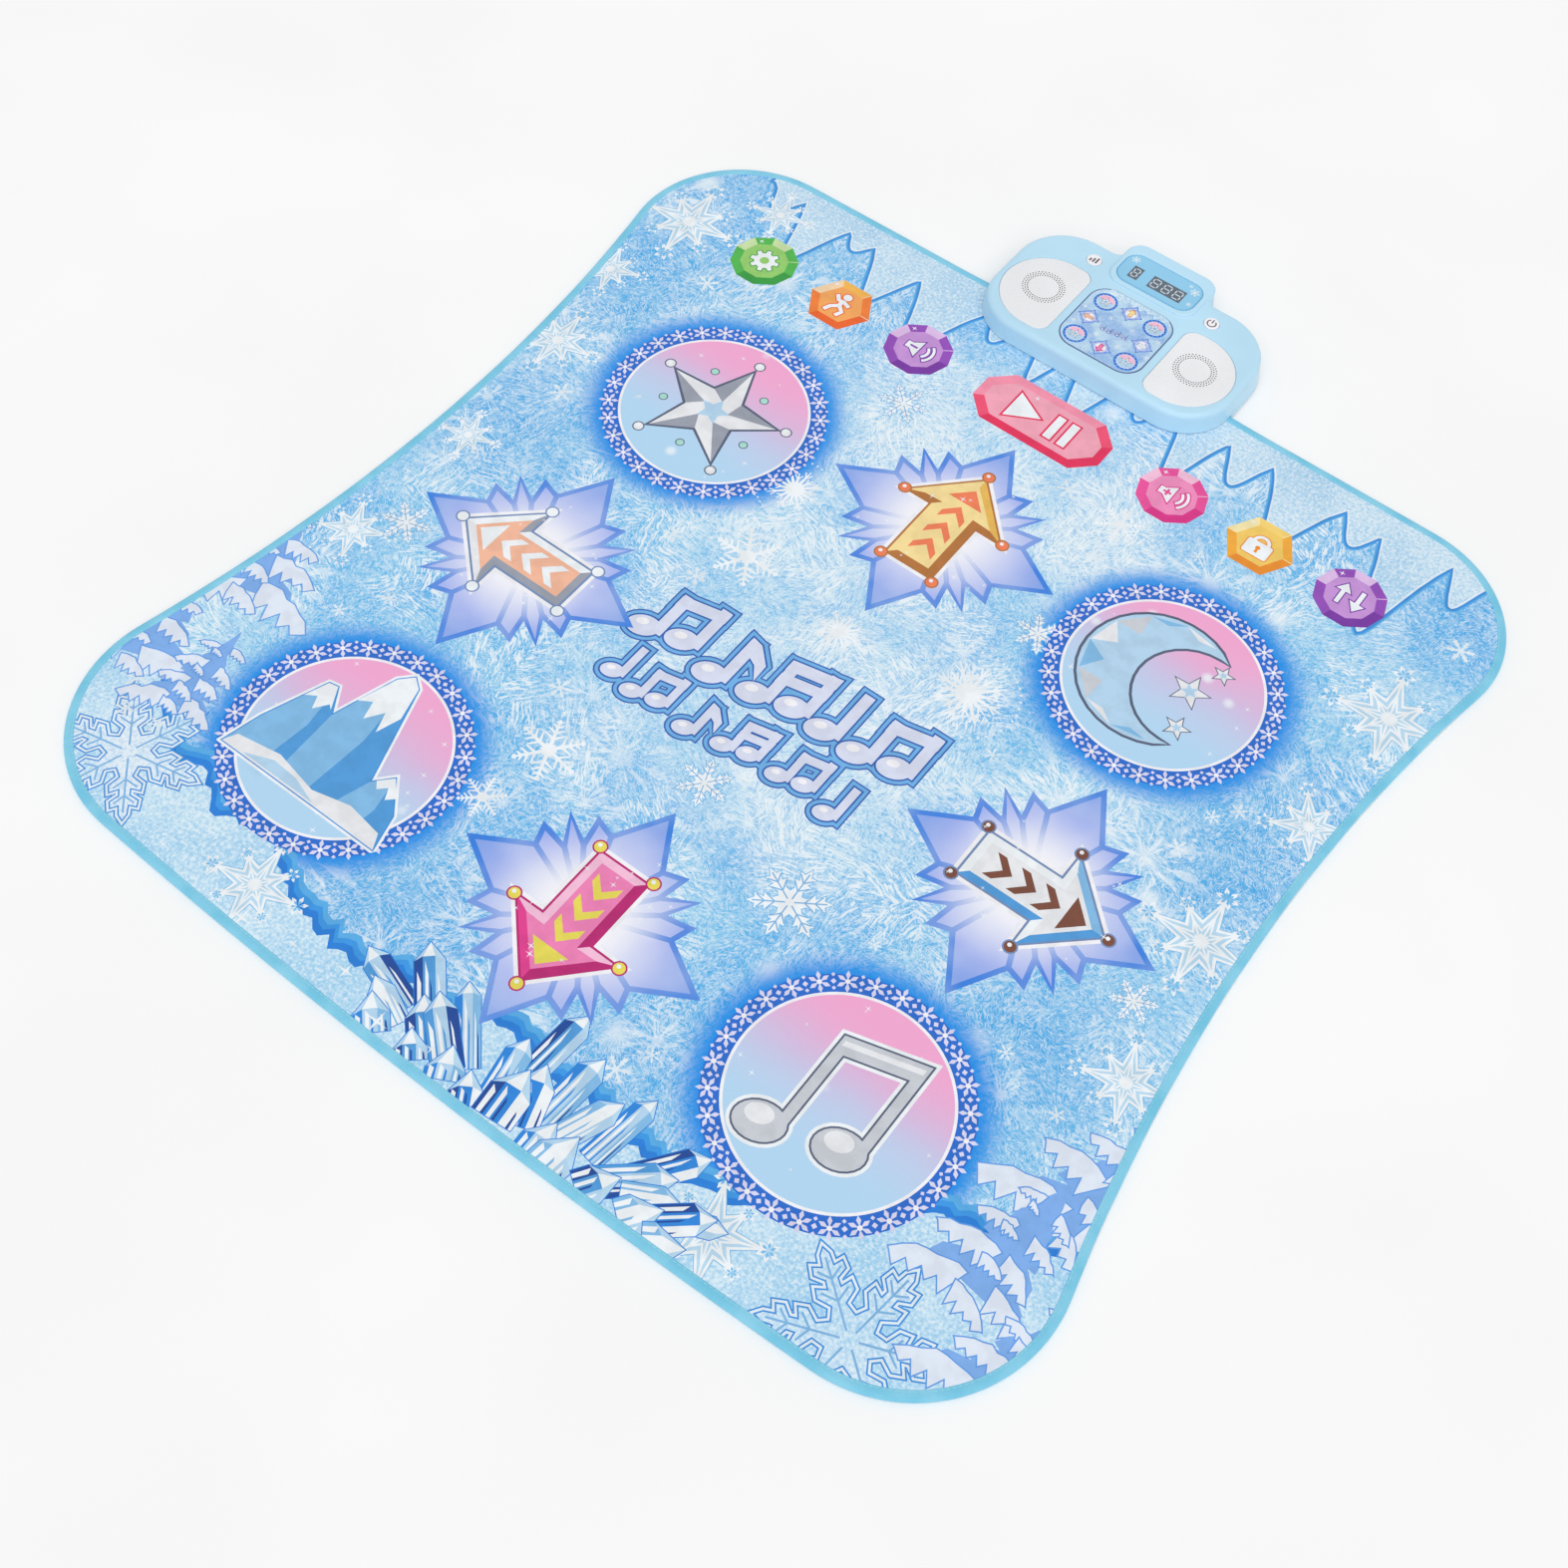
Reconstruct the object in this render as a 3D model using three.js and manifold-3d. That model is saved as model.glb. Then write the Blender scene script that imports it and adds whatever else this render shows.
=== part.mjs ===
// Electronic dance mat: a layered floor mat with foot pads and touch keys, and a sound box
// that grips its far edge. Millimetres, +Z up, +Y towards the sound box, X across the mat.
import * as THREE from 'three';
import { mergeVertices } from 'three/addons/utils/BufferGeometryUtils.js';
import Module from 'manifold-3d';

const wasm = await Module();
wasm.setup();

// Clearances shared by all pieces
const fit = {
  gap: 0.3, // between a piece and what it sits in
  seat: 0.25, // between stacked hard pieces
  overrun: 2, // how far a cutter runs past the face that it cuts
  weld: 0.01, // points closer than this are one point
};

// Mat outline, measured from the mat's own centre
const mat = {
  halfLength: 470.5,
  nearHalfWidth: 460,
  farTaper: 4, // how much narrower each side is at the far end
  waistDraw: 36.5, // and at the waist
  farCornerRadius: 114,
  nearCornerRadius: 124,
  farBow: 2.4,
  nearBow: 8.8,
};
mat.farHalfWidth = mat.nearHalfWidth - mat.farTaper;
mat.waistHalfWidth = mat.nearHalfWidth - mat.waistDraw;

// Layer thickness, from the floor up
const layer = { grip: 0.5, baseFoam: 1.5, film: 0.25, spacer: 1.75, cover: 1.75 };

const level = { floor: 0 };
level.baseFoam = level.floor + layer.grip;
level.lowerFilm = level.baseFoam + layer.baseFoam;
level.spacer = level.lowerFilm + layer.film;
level.upperFilm = level.spacer + layer.spacer;
level.cover = level.upperFilm + layer.film;
level.top = level.cover + layer.cover;

// Sewn edge tape, folded round the rim of the layers
const binding = { wall: 0.75, flange: 0.5, width: 8 };

// Foot pads: four round ones at the corners, four stars between them, and the room round them
const pads = {
  nearMargin: 60.5, // from the near star to the near edge
  nearSideMargin: 114, // from a near round pad to the side
  farSideMargin: 116.5, // from a far round pad to the side
  waistMargin: 51.5, // from a side star to the waist
  rowGap: 16, // from a side star to a round pad
  columnGap: 26, // from the near star to a round pad
  farStarShift: 19, // how far the far star lies beyond the far round pads
  starReach: 7, // a star's tips reach further than the mean radius of all pads, round pads less
};
const star = { shoulderDraw: 26, notchDraw: 44, points: 8 };
const contact = { margin: 16, thickness: 0.5, keyRadius: 14, rest: 0.25 };

// Touch keys in one row: three gems on each side of the long start key
const key = {
  radius: 33,
  gap: 24, // between two gems
  startGap: 37, // between the start key and a gem
  rowGap: 12, // from the far star
  boxGap: 26, // to the sound box
  startHalfWidth: 68,
  startHalfDepth: 33,
  startCut: 20,
};
const keyPitch = 2 * key.radius + key.gap;
const innerKey = key.startHalfWidth + key.startGap + key.radius;

// Sound box: plan outline at its foot, heights and walls
const box = {
  lap: 57.5, // how far it reaches over the mat
  depth: 152.5,
  halfWidth: 132,
  frontRadius: 53,
  rearStraight: 17.5, // between a rear corner and the neck of the display head
  headHalfWidth: 49.5,
  headReach: 25,
  headRadius: 15,
  neckRadius: 8,
  foot: 1.5,
  height: 25.5,
  draft: 4,
  edgeRadius: 6,
  wall: 2.2,
  topWall: 3,
  base: 2.5,
  lip: 1.6,
  lipRise: 2,
};
box.rearRadius = box.halfWidth - box.headHalfWidth - box.neckRadius - box.rearStraight;

// The pads are as large as the mat's length and width leave room for
const boxFront = mat.halfLength - box.lap;
const keyRow = boxFront - key.boxGap - key.startHalfDepth;
const farStarTip = keyRow - key.startHalfDepth - key.rowGap;
const padLength = mat.halfLength + farStarTip - pads.nearMargin - pads.farStarShift;
const padWidth = mat.nearHalfWidth - pads.nearSideMargin - pads.columnGap;
const meanRadius = Math.min(
  (padLength - 2 * pads.rowGap - 2 * pads.starReach) / 6,
  (padWidth + pads.starReach) / 3,
);
const round = { radius: meanRadius - pads.starReach };
star.tip = meanRadius + pads.starReach;
star.shoulder = star.tip - star.shoulderDraw;
star.notch = star.tip - star.notchDraw;
contact.radius = star.notch - contact.margin;

// Rows and columns of pads
const nearRow = pads.nearMargin + star.tip - mat.halfLength;
const farStarRow = farStarTip - star.tip;
const farRow = farStarRow - pads.farStarShift;
const middleRow = (nearRow + farRow) / 2;
const nearColumn = mat.nearHalfWidth - pads.nearSideMargin - round.radius;
const farColumn = mat.farHalfWidth - pads.farSideMargin - round.radius;
const sideColumn = mat.waistHalfWidth - pads.waistMargin - star.tip;

// Inserts in the sound box's top: a picture panel between two speaker covers
const row = { frontMargin: 14, rearMargin: 44.5, thickness: 1.5 };
const cover = { sideMargin: 10.5, straight: 22.5, cornerRadius: 13, panelGap: 8 };
cover.radius = (box.depth - row.frontMargin - row.rearMargin) / 2;
const rowY = boxFront + row.frontMargin + cover.radius;
const boxRear = boxFront + box.depth;
const headRear = boxRear + box.headReach;
const coverX = box.halfWidth - cover.sideMargin - cover.radius;
const coverInnerX = coverX - cover.straight;
const panel = { inset: 3, radius: 20, thickness: 1 };
const panelHalfWidth = coverInnerX - cover.panelGap;
const panelHalfDepth = cover.radius - panel.inset;
const sound = { shiftX: 8.4, shiftY: 3.5, ringRadius: 17.5, holeRadius: 0.9, holes: 20 };
const soundX = coverX + sound.shiftX;
const soundY = rowY + sound.shiftY;
const boxTop = box.foot + box.height;
const boxCeiling = boxTop - box.topWall;
const boxSeam = level.top + binding.flange + fit.seat;
const plateTop = boxSeam + box.lipRise;
const baseTop = box.foot + box.base;
const edgeY = mat.halfLength + fit.gap;

// Raised frame round the display
const pod = { gap: 5, sideInset: 3, rearInset: 4, radius: 15, rise: 2.5, edgeRadius: 2, wall: 2.2 };
const podHalfWidth = box.headHalfWidth - pod.sideInset;
const podTop = boxTop + pod.rise;
const podFront = rowY + cover.radius + pod.gap;
const podRear = headRear - pod.rearInset;
const podMiddle = (podFront + podRear) / 2;
const podHalfDepth = (podRear - podFront) / 2;

// Display window in that frame
const pane = { margin: 5, rearMargin: 14.5, radius: 14, thickness: 1.5, ledge: 2 };
const paneHalfWidth = podHalfWidth - pane.margin;
const paneHalfDepth = podHalfDepth - (pane.margin + pane.rearMargin) / 2;
const paneY = podFront + pane.margin + paneHalfDepth;

// Buttons on the top, each over a switch on the control board
const button = {
  podGap: 18.5, // from the display's frame to its middle
  setback: 26.5,
  radius: 7.4,
  proud: 0.6,
  round: 0.8,
  flange: 1.8,
  flangeThickness: 0.75,
  stemRadius: 2.5,
  stem: 0.25,
  switchHalfSide: 3,
  switchHeight: 0.75,
};
const buttonX = podHalfWidth + button.podGap;
const buttonY = boxRear - button.setback;

// Boards and display
const board = { thickness: 1.5, postRadius: 3, postInset: 5 };
const control = { buttonMargin: 11, front: 36.5, rear: 16.5, headInset: 11, headReach: 6 };
const mainBoard = { halfWidth: 36, front: 42, depth: 45, rise: 3.25, chipHalfSide: 7, chipHeight: 1.5 };
const display = { sideInset: 7.5, halfDepth: 12, shift: 4 };
const controlHalfWidth = buttonX + control.buttonMargin;
const mainBoardZ = plateTop + mainBoard.rise;
const mainBoardFront = boxFront + mainBoard.front;

// Speakers, rim up
const speaker = {
  radius: 26,
  rim: 1.5,
  depth: 14.4,
  opening: 22.5,
  basket: 9.6,
  magnetRadius: 13,
  skin: 1,
  coneDepth: 8.2,
  coneSkin: 0.6,
  coneRun: 0.4,
  coneGap: 0.5,
  hole: 21.5,
};

// Batteries in a row, and the sliding door under them
const cell = { radius: 7.25, length: 49.5, nub: 1, nubRadius: 2.75, pitch: 15, count: 3 };
const tray = { wall: 1.5, plate: 0.5, plateHalfHeight: 6, rearInset: 6 };
const door = {
  thickness: 1.75,
  tongue: 2,
  tongueThickness: 0.75,
  margin: 3.5,
  grips: 4,
  grip: 1.2,
  gripDepth: 0.5,
};
const trayHalfWidth = cell.length / 2 + cell.nub + tray.plate + 2 * fit.gap;
const trayHalfDepth = (cell.count * cell.pitch) / 2 + fit.gap;
const trayRear = headRear - tray.rearInset;
const trayY = trayRear - tray.wall - trayHalfDepth;
const doorTop = box.foot + door.thickness;
const cellZ = doorTop + fit.seat + cell.radius;
const trayCeiling = cellZ + cell.radius + fit.seat;
const controlZ = trayCeiling + tray.wall + fit.seat;
const controlTop = controlZ + board.thickness;

// Screws, feet, clamp bar and film tail
const screw = {
  radius: 1.5,
  headRadius: 3,
  head: 1.25,
  bossRadius: 4,
  reach: 10,
  soundGap: 32.5, // how far the rear screws lie behind the speakers
  rearSide: 23,
  frontInset: 15,
  frontSide: 71,
};
const screwFrontX = box.halfWidth - screw.frontSide;
const screwRearX = box.halfWidth - screw.rearSide;
const screwRearY = soundY + screw.soundGap;
const foot = { radius: 7, sink: 0.5, sideInset: 39, setback: 30 };
const footX = box.halfWidth - foot.sideInset;
const clamp = { endInset: 26, halfDepth: 5, setback: 17.5, studRadius: 2, studs: 4, studInset: 10 };
const clampHalfLength = box.halfWidth - clamp.endInset;
const tail = { halfWidth: 20, thickness: 0.25, setback: 20, lead: 20, rise: 1.25, reach: 6 };
const socket = { halfWidth: 23, depth: 6, height: 3 };
const tailY = mat.halfLength - tail.setback;

// Facets
const steps = {
  corner: 8,
  side: 6,
  bow: 2,
  boxCorner: 8,
  neck: 3,
  edge: 4,
  pad: 24,
  lathe: 16,
  small: 12,
  tiny: 6,
};

const turn = 2 * Math.PI;
const quarter = Math.PI / 2;

// Points of an arc from one angle to another, both ends included
function arc(x, y, radius, from, to, count) {
  return Array.from({ length: count + 1 }, (_, i) => {
    const angle = from + ((to - from) * i) / count;
    return new THREE.Vector2(x + radius * Math.cos(angle), y + radius * Math.sin(angle));
  });
}

function circle(x, y, radius, count) {
  return arc(x, y, radius, 0, turn, count).slice(0, -1);
}

// A right half, from the near middle to the far middle, closed with its mirror image
function mirrored(half) {
  const left = half.map((p) => new THREE.Vector2(-p.x, p.y)).reverse();
  return half.concat(left).filter((p, i, all) => p.distanceTo(all[(i + 1) % all.length]) > fit.weld);
}

function roundedBox(x, y, halfX, halfY, radius, count) {
  const dx = halfX - radius;
  const dy = halfY - radius;
  return [
    ...arc(x + dx, y - dy, radius, -quarter, 0, count),
    ...arc(x + dx, y + dy, radius, 0, quarter, count),
    ...arc(x - dx, y + dy, radius, quarter, 2 * quarter, count),
    ...arc(x - dx, y - dy, radius, 2 * quarter, 3 * quarter, count),
  ];
}

function rectangle(x0, x1, y0, y1) {
  return [
    new THREE.Vector2(x0, y0),
    new THREE.Vector2(x1, y0),
    new THREE.Vector2(x1, y1),
    new THREE.Vector2(x0, y1),
  ];
}

// A polygon grown by a margin, its corners kept sharp
function grown(points, margin) {
  const count = points.length;
  return points.map((p, i) => {
    const before = p.clone().sub(points[(i + count - 1) % count]).normalize();
    const after = points[(i + 1) % count].clone().sub(p).normalize();
    const out = new THREE.Vector2(before.y + after.y, -before.x - after.x);
    const share = 1 + before.dot(after);
    return p.clone().addScaledVector(out, margin / share);
  });
}

// Angle from one point towards another
function bearing(from, to) {
  return Math.atan2(to.y - from.y, to.x - from.x);
}

// Side arc that touches both corner circles and leaves the waist its width
function waistArc(far, near) {
  const farLean = mat.waistHalfWidth - far.x;
  const nearLean = mat.waistHalfWidth - near.x;
  const farNeed = (y) => ((y - far.y) ** 2 + farLean ** 2 - far.r ** 2) / (2 * (far.r - farLean));
  const nearNeed = (y) => ((y - near.y) ** 2 + nearLean ** 2 - near.r ** 2) / (2 * (near.r - nearLean));
  let low = near.y;
  let high = far.y;
  while (high - low > fit.weld) {
    const middle = (low + high) / 2;
    if (farNeed(middle) > nearNeed(middle)) low = middle;
    else high = middle;
  }
  const r = farNeed(low);
  return { x: mat.waistHalfWidth + r, y: low, r };
}

// Circle of a slightly bowed end that touches the corner circle
function bowArc(corner, end) {
  const rise = Math.abs(end - corner.y);
  const r = (corner.x ** 2 + rise ** 2 - corner.r ** 2) / (2 * (rise - corner.r));
  return { x: 0, y: end - Math.sign(end) * r, r };
}

// Mat outline drawn in by an inset: six tangent arcs on each side
function matOutline(inset) {
  const far = {
    x: mat.farHalfWidth - mat.farCornerRadius,
    y: mat.halfLength - mat.farCornerRadius - mat.farBow,
    r: mat.farCornerRadius,
  };
  const near = {
    x: mat.nearHalfWidth - mat.nearCornerRadius,
    y: -mat.halfLength + mat.nearCornerRadius + mat.nearBow,
    r: mat.nearCornerRadius,
  };
  const waist = waistArc(far, near);
  const farBow = bowArc(far, mat.halfLength);
  const nearBow = bowArc(near, -mat.halfLength);
  const nearJoin = bearing(nearBow, near);
  const nearWaist = bearing(near, waist);
  const farWaist = bearing(far, waist);
  const farJoin = bearing(farBow, far);
  return mirrored([
    ...arc(nearBow.x, nearBow.y, nearBow.r - inset, -quarter, nearJoin, steps.bow),
    ...arc(near.x, near.y, near.r - inset, nearJoin, nearWaist, steps.corner),
    ...arc(waist.x, waist.y, waist.r + inset, nearWaist + Math.PI, farWaist + Math.PI, steps.side),
    ...arc(far.x, far.y, far.r - inset, farWaist, farJoin, steps.corner),
    ...arc(farBow.x, farBow.y, farBow.r - inset, farJoin, quarter, steps.bow),
  ]);
}

// Sound box outline drawn in by an inset
function boxOutline(inset) {
  const frontX = box.halfWidth - box.frontRadius;
  const rearX = box.halfWidth - box.rearRadius;
  const headX = box.headHalfWidth - box.headRadius;
  const neckX = box.headHalfWidth + box.neckRadius;
  const c = steps.boxCorner;
  return mirrored([
    ...arc(frontX, boxFront + box.frontRadius, box.frontRadius - inset, -quarter, 0, c),
    ...arc(rearX, boxRear - box.rearRadius, box.rearRadius - inset, 0, quarter, c),
    ...arc(neckX, boxRear + box.neckRadius, box.neckRadius + inset, -quarter, -2 * quarter, steps.neck),
    ...arc(headX, headRear - box.headRadius, box.headRadius - inset, 0, quarter, steps.neck),
  ]);
}

function podOutline(inset) {
  const across = podHalfWidth - inset;
  return roundedBox(0, podMiddle, across, podHalfDepth - inset, pod.radius - inset, steps.edge);
}

function panelOutline(margin) {
  const across = panelHalfWidth + margin;
  return roundedBox(0, rowY, across, panelHalfDepth + margin, panel.radius + margin, steps.edge);
}

function paneOutline(margin) {
  const across = paneHalfWidth + margin;
  return roundedBox(0, paneY, across, paneHalfDepth + margin, pane.radius + margin, steps.edge);
}

// Speaker cover: straight towards the panel, round towards the box's end
function coverOutline(side, margin) {
  const inner = coverInnerX - margin;
  const corner = cover.cornerRadius;
  const points = [
    ...arc(inner + corner, rowY - cover.radius - margin + corner, corner, -2 * quarter, -quarter, steps.edge),
    ...arc(coverX, rowY, cover.radius + margin, -quarter, quarter, 2 * steps.boxCorner),
    ...arc(inner + corner, rowY + cover.radius + margin - corner, corner, quarter, 2 * quarter, steps.edge),
  ];
  return side > 0 ? points : points.map((p) => new THREE.Vector2(-p.x, p.y)).reverse();
}

function starOutline(x, y) {
  const count = 2 * star.points;
  return Array.from({ length: count }, (_, i) => {
    const tip = i % 4 === 0 ? star.tip : star.shoulder;
    const radius = i % 2 === 0 ? tip : star.notch;
    const angle = (turn * i) / count;
    return new THREE.Vector2(x + radius * Math.cos(angle), y + radius * Math.sin(angle));
  });
}

function startOutline() {
  const w = key.startHalfWidth;
  const d = key.startHalfDepth;
  const c = key.startCut;
  const half = [
    new THREE.Vector2(w - c, -d),
    new THREE.Vector2(w, -d + c),
    new THREE.Vector2(w, d - c),
    new THREE.Vector2(w - c, d),
  ];
  return mirrored(half).map((p) => new THREE.Vector2(p.x, p.y + keyRow));
}

// A flat-ended solid between two heights, with holes
function prism(points, z0, z1, holes = []) {
  const shape = new THREE.Shape(points);
  shape.holes = holes.map((hole) => new THREE.Path(hole));
  const geometry = new THREE.ExtrudeGeometry(shape, { depth: 1, bevelEnabled: false });
  const at = geometry.attributes.position;
  for (let i = 0; i < at.count; i += 1) at.setZ(i, at.getZ(i) > 1 / 2 ? z1 : z0);
  return geometry;
}

// A solid through rings of equal point counts, listed from the lowest up
function loft(rings) {
  const count = rings[0].points.length;
  const positions = rings.flatMap((ring) => ring.points.flatMap((p) => [p.x, p.y, ring.z]));
  const index = [];
  for (let r = 0; r + 1 < rings.length; r += 1) {
    for (let i = 0; i < count; i += 1) {
      const a = r * count + i;
      const b = r * count + ((i + 1) % count);
      index.push(a, b, b + count, a, b + count, a + count);
    }
  }
  const last = (rings.length - 1) * count;
  const cap = (points) => THREE.ShapeUtils.triangulateShape(points, []);
  cap(rings[0].points).forEach(([a, b, c]) => index.push(c, b, a));
  cap(rings[rings.length - 1].points).forEach(([a, b, c]) => index.push(last + a, last + b, last + c));
  const geometry = new THREE.BufferGeometry();
  geometry.setAttribute('position', new THREE.Float32BufferAttribute(positions, 3));
  geometry.setIndex(index);
  return geometry;
}

// A turned solid about Z from radius and height pairs
function turned(profile, sides) {
  const points = profile.map(([radius, z]) => new THREE.Vector2(radius, z));
  return new THREE.LatheGeometry(points, sides).rotateX(quarter);
}

// A closed mesh as a solid that can be cut and joined
function solid(geometry) {
  const bare = geometry.clone();
  bare.deleteAttribute('normal');
  bare.deleteAttribute('uv');
  const merged = mergeVertices(bare);
  const from = merged.index.array;
  const kept = [];
  for (let i = 0; i < from.length; i += 3) {
    const [a, b, c] = [from[i], from[i + 1], from[i + 2]];
    if (a !== b && b !== c && c !== a) kept.push(a, b, c);
  }
  const mesh = new wasm.Mesh({
    numProp: 3,
    vertProperties: new Float32Array(merged.attributes.position.array),
    triVerts: new Uint32Array(kept),
  });
  return new wasm.Manifold(mesh);
}

function surface(manifold) {
  const mesh = manifold.getMesh();
  const geometry = new THREE.BufferGeometry();
  geometry.setAttribute('position', new THREE.BufferAttribute(mesh.vertProperties, 3));
  geometry.setIndex(new THREE.BufferAttribute(mesh.triVerts, 1));
  geometry.computeVertexNormals();
  return geometry;
}

const joined = (first, ...rest) => rest.reduce((whole, part) => whole.add(solid(part)), first);
const cut = (first, ...rest) => rest.reduce((whole, part) => whole.subtract(solid(part)), first);

function rod(x, y, radius, z0, z1, sides = steps.small) {
  return prism(circle(x, y, radius, sides), z0, z1);
}

function slab(x0, x1, y0, y1, z0, z1) {
  return prism(rectangle(x0, x1, y0, y1), z0, z1);
}

// Colours and finishes
const tones = {
  cloth: [0x8cc4ee, 0.8, 0],
  edge: [0x78cde6, 0.75, 0],
  film: [0xdfe6ea, 0.35, 0],
  foam: [0xf1f1ee, 0.95, 0],
  grip: [0x55606b, 0.95, 0],
  carbon: [0x2b2d30, 0.7, 0],
  shell: [0xb4def4, 0.4, 0],
  insert: [0xe9eaec, 0.5, 0],
  picture: [0x7fb2e8, 0.3, 0],
  pane: [0x87cdf0, 0.15, 0],
  digits: [0x46555f, 0.4, 0],
  key: [0xf6f7f8, 0.45, 0],
  board: [0x2f7d4f, 0.5, 0],
  metal: [0xb9bcc0, 0.35, 0.9],
  frame: [0x3a3c3f, 0.5, 0.4],
  cone: [0x1d1e20, 0.8, 0],
  wrap: [0x4d6f9e, 0.4, 0.1],
  rubber: [0x3a3d40, 0.9, 0],
  roundPad: [0xe9b7d8, 0.8, 0],
  starPad: [0xa9bbf2, 0.8, 0],
  green: [0x63b75c, 0.75, 0],
  orange: [0xf28a3c, 0.75, 0],
  purple: [0x9c55bd, 0.75, 0],
  red: [0xf0466e, 0.75, 0],
  pink: [0xef68ad, 0.75, 0],
  yellow: [0xf7b547, 0.75, 0],
};

function finish(name) {
  const [color, roughness, metalness] = tones[name];
  return new THREE.MeshStandardMaterial({ color, roughness, metalness });
}

const danceMat = new THREE.Group();

function add(name, shape, tone) {
  const geometry = shape.isBufferGeometry ? surface(solid(shape)) : surface(shape);
  const mesh = new THREE.Mesh(geometry, finish(tone));
  mesh.name = name;
  danceMat.add(mesh);
  return mesh;
}

// Where each pad and key lies, with its outline
const padPlaces = [
  { name: 'pad_far_left', outline: circle(-farColumn, farRow, round.radius, steps.pad), tone: 'roundPad' },
  { name: 'pad_far_right', outline: circle(farColumn, farRow, round.radius, steps.pad), tone: 'roundPad' },
  { name: 'pad_near_left', outline: circle(-nearColumn, nearRow, round.radius, steps.pad), tone: 'roundPad' },
  { name: 'pad_near_right', outline: circle(nearColumn, nearRow, round.radius, steps.pad), tone: 'roundPad' },
  { name: 'pad_far', outline: starOutline(0, farStarRow), tone: 'starPad' },
  { name: 'pad_near', outline: starOutline(0, nearRow), tone: 'starPad' },
  { name: 'pad_left', outline: starOutline(-sideColumn, middleRow), tone: 'starPad' },
  { name: 'pad_right', outline: starOutline(sideColumn, middleRow), tone: 'starPad' },
];
const padCentres = [
  [-farColumn, farRow],
  [farColumn, farRow],
  [-nearColumn, nearRow],
  [nearColumn, nearRow],
  [0, farStarRow],
  [0, nearRow],
  [-sideColumn, middleRow],
  [sideColumn, middleRow],
];

const gem = (place, corners) => circle(place, keyRow, key.radius, corners);
const keyPlaces = [
  { name: 'key_game', x: -innerKey - 2 * keyPitch, corners: 10, tone: 'green' },
  { name: 'key_dance', x: -innerKey - keyPitch, corners: 6, tone: 'orange' },
  { name: 'key_volume_down', x: -innerKey, corners: 10, tone: 'purple' },
  { name: 'key_start', x: 0, corners: 0, tone: 'red' },
  { name: 'key_volume_up', x: innerKey, corners: 10, tone: 'pink' },
  { name: 'key_lock', x: innerKey + keyPitch, corners: 6, tone: 'yellow' },
  { name: 'key_track', x: innerKey + 2 * keyPitch, corners: 10, tone: 'purple' },
].map((place) => ({ ...place, outline: place.corners ? gem(place.x, place.corners) : startOutline() }));

// Stud places along the clamp bar
const studPlaces = Array.from({ length: clamp.studs }, (_, i) => {
  const reach = clampHalfLength - clamp.studInset;
  return -reach + (2 * reach * i) / (clamp.studs - 1);
});
const clampY = mat.halfLength - clamp.setback;

function studHoles() {
  return studPlaces.map((x) => circle(x, clampY, clamp.studRadius + fit.gap, steps.tiny));
}

// Opening for the film tail, from its foot to where it rises
function tailHole(from, to) {
  const across = tail.halfWidth + fit.gap;
  return rectangle(-across, across, from - fit.gap, to + fit.gap);
}

function padHoles() {
  return padPlaces.concat(keyPlaces).map((place) => grown(place.outline, fit.gap));
}

function makeLayers() {
  const inside = matOutline(binding.wall + fit.gap);
  const openings = [...padHoles(), ...studHoles()];
  const riser = tailHole(tailY, tailY + tail.thickness);
  const pocket = tailHole(tailY - tail.lead, tailY + tail.thickness);
  const bar = rectangle(-clampHalfLength - fit.gap, clampHalfLength + fit.gap,
    clampY - clamp.halfDepth - fit.gap, clampY + clamp.halfDepth + fit.gap);
  const grip = matOutline(binding.width + fit.gap);
  add('grip_base', prism(grip, level.floor, level.baseFoam), 'grip');
  add('base_foam', prism(inside, level.baseFoam, level.lowerFilm, [bar]), 'foam');
  add('lower_film', prism(inside, level.lowerFilm, level.spacer, studHoles()), 'film');
  add('spacer_foam', prism(inside, level.spacer, level.upperFilm, [...openings, pocket]), 'foam');
  add('upper_film', prism(inside, level.upperFilm, level.cover, [...openings, riser]), 'film');
  add('cover_sheet', prism(inside, level.cover, level.top, [...openings, riser]), 'cloth');
}

function makeBinding() {
  const ring = prism(matOutline(0), level.floor, level.top + binding.flange, [matOutline(binding.width)]);
  const studs = studPlaces.map((x) => rod(x, clampY, clamp.studRadius + fit.gap, level.top - fit.overrun,
    level.top + binding.flange + fit.overrun, steps.tiny));
  const channel = prism(matOutline(binding.wall), level.baseFoam, level.top);
  add('edge_binding', cut(solid(ring), channel, ...studs), 'edge');
}

function makePads() {
  const contactFoot = level.cover - contact.thickness;
  padPlaces.forEach((place, i) => {
    const [x, y] = padCentres[i];
    add(place.name, prism(place.outline, level.cover, level.top), place.tone);
    const disc = circle(x, y, contact.radius, steps.pad / 2);
    add(place.name.replace('pad', 'contact'), prism(disc, contactFoot, level.cover), 'carbon');
  });
  keyPlaces.forEach((place) => {
    const pill = rod(place.x, keyRow, contact.keyRadius, contactFoot, level.cover + contact.rest);
    add(place.name, joined(solid(prism(place.outline, level.cover, level.top)), pill), place.tone);
  });
}

// Inset of the box's wall at a height, from its draft
function drawnIn(z) {
  return (box.draft * (z - box.foot)) / box.height;
}

function boxRings(z0, z1, inset) {
  return [z0, z1].map((z) => ({ z, points: boxOutline(drawnIn(z) + inset) }));
}

// Rings that round an edge over, from upright to flat
function roundedRings(outline, top, radius, inset) {
  return Array.from({ length: steps.edge + 1 }, (_, i) => {
    const angle = (quarter * i) / steps.edge;
    const z = top - radius + radius * Math.sin(angle);
    return { z, points: outline(inset + radius * (1 - Math.cos(angle))) };
  });
}

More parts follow.
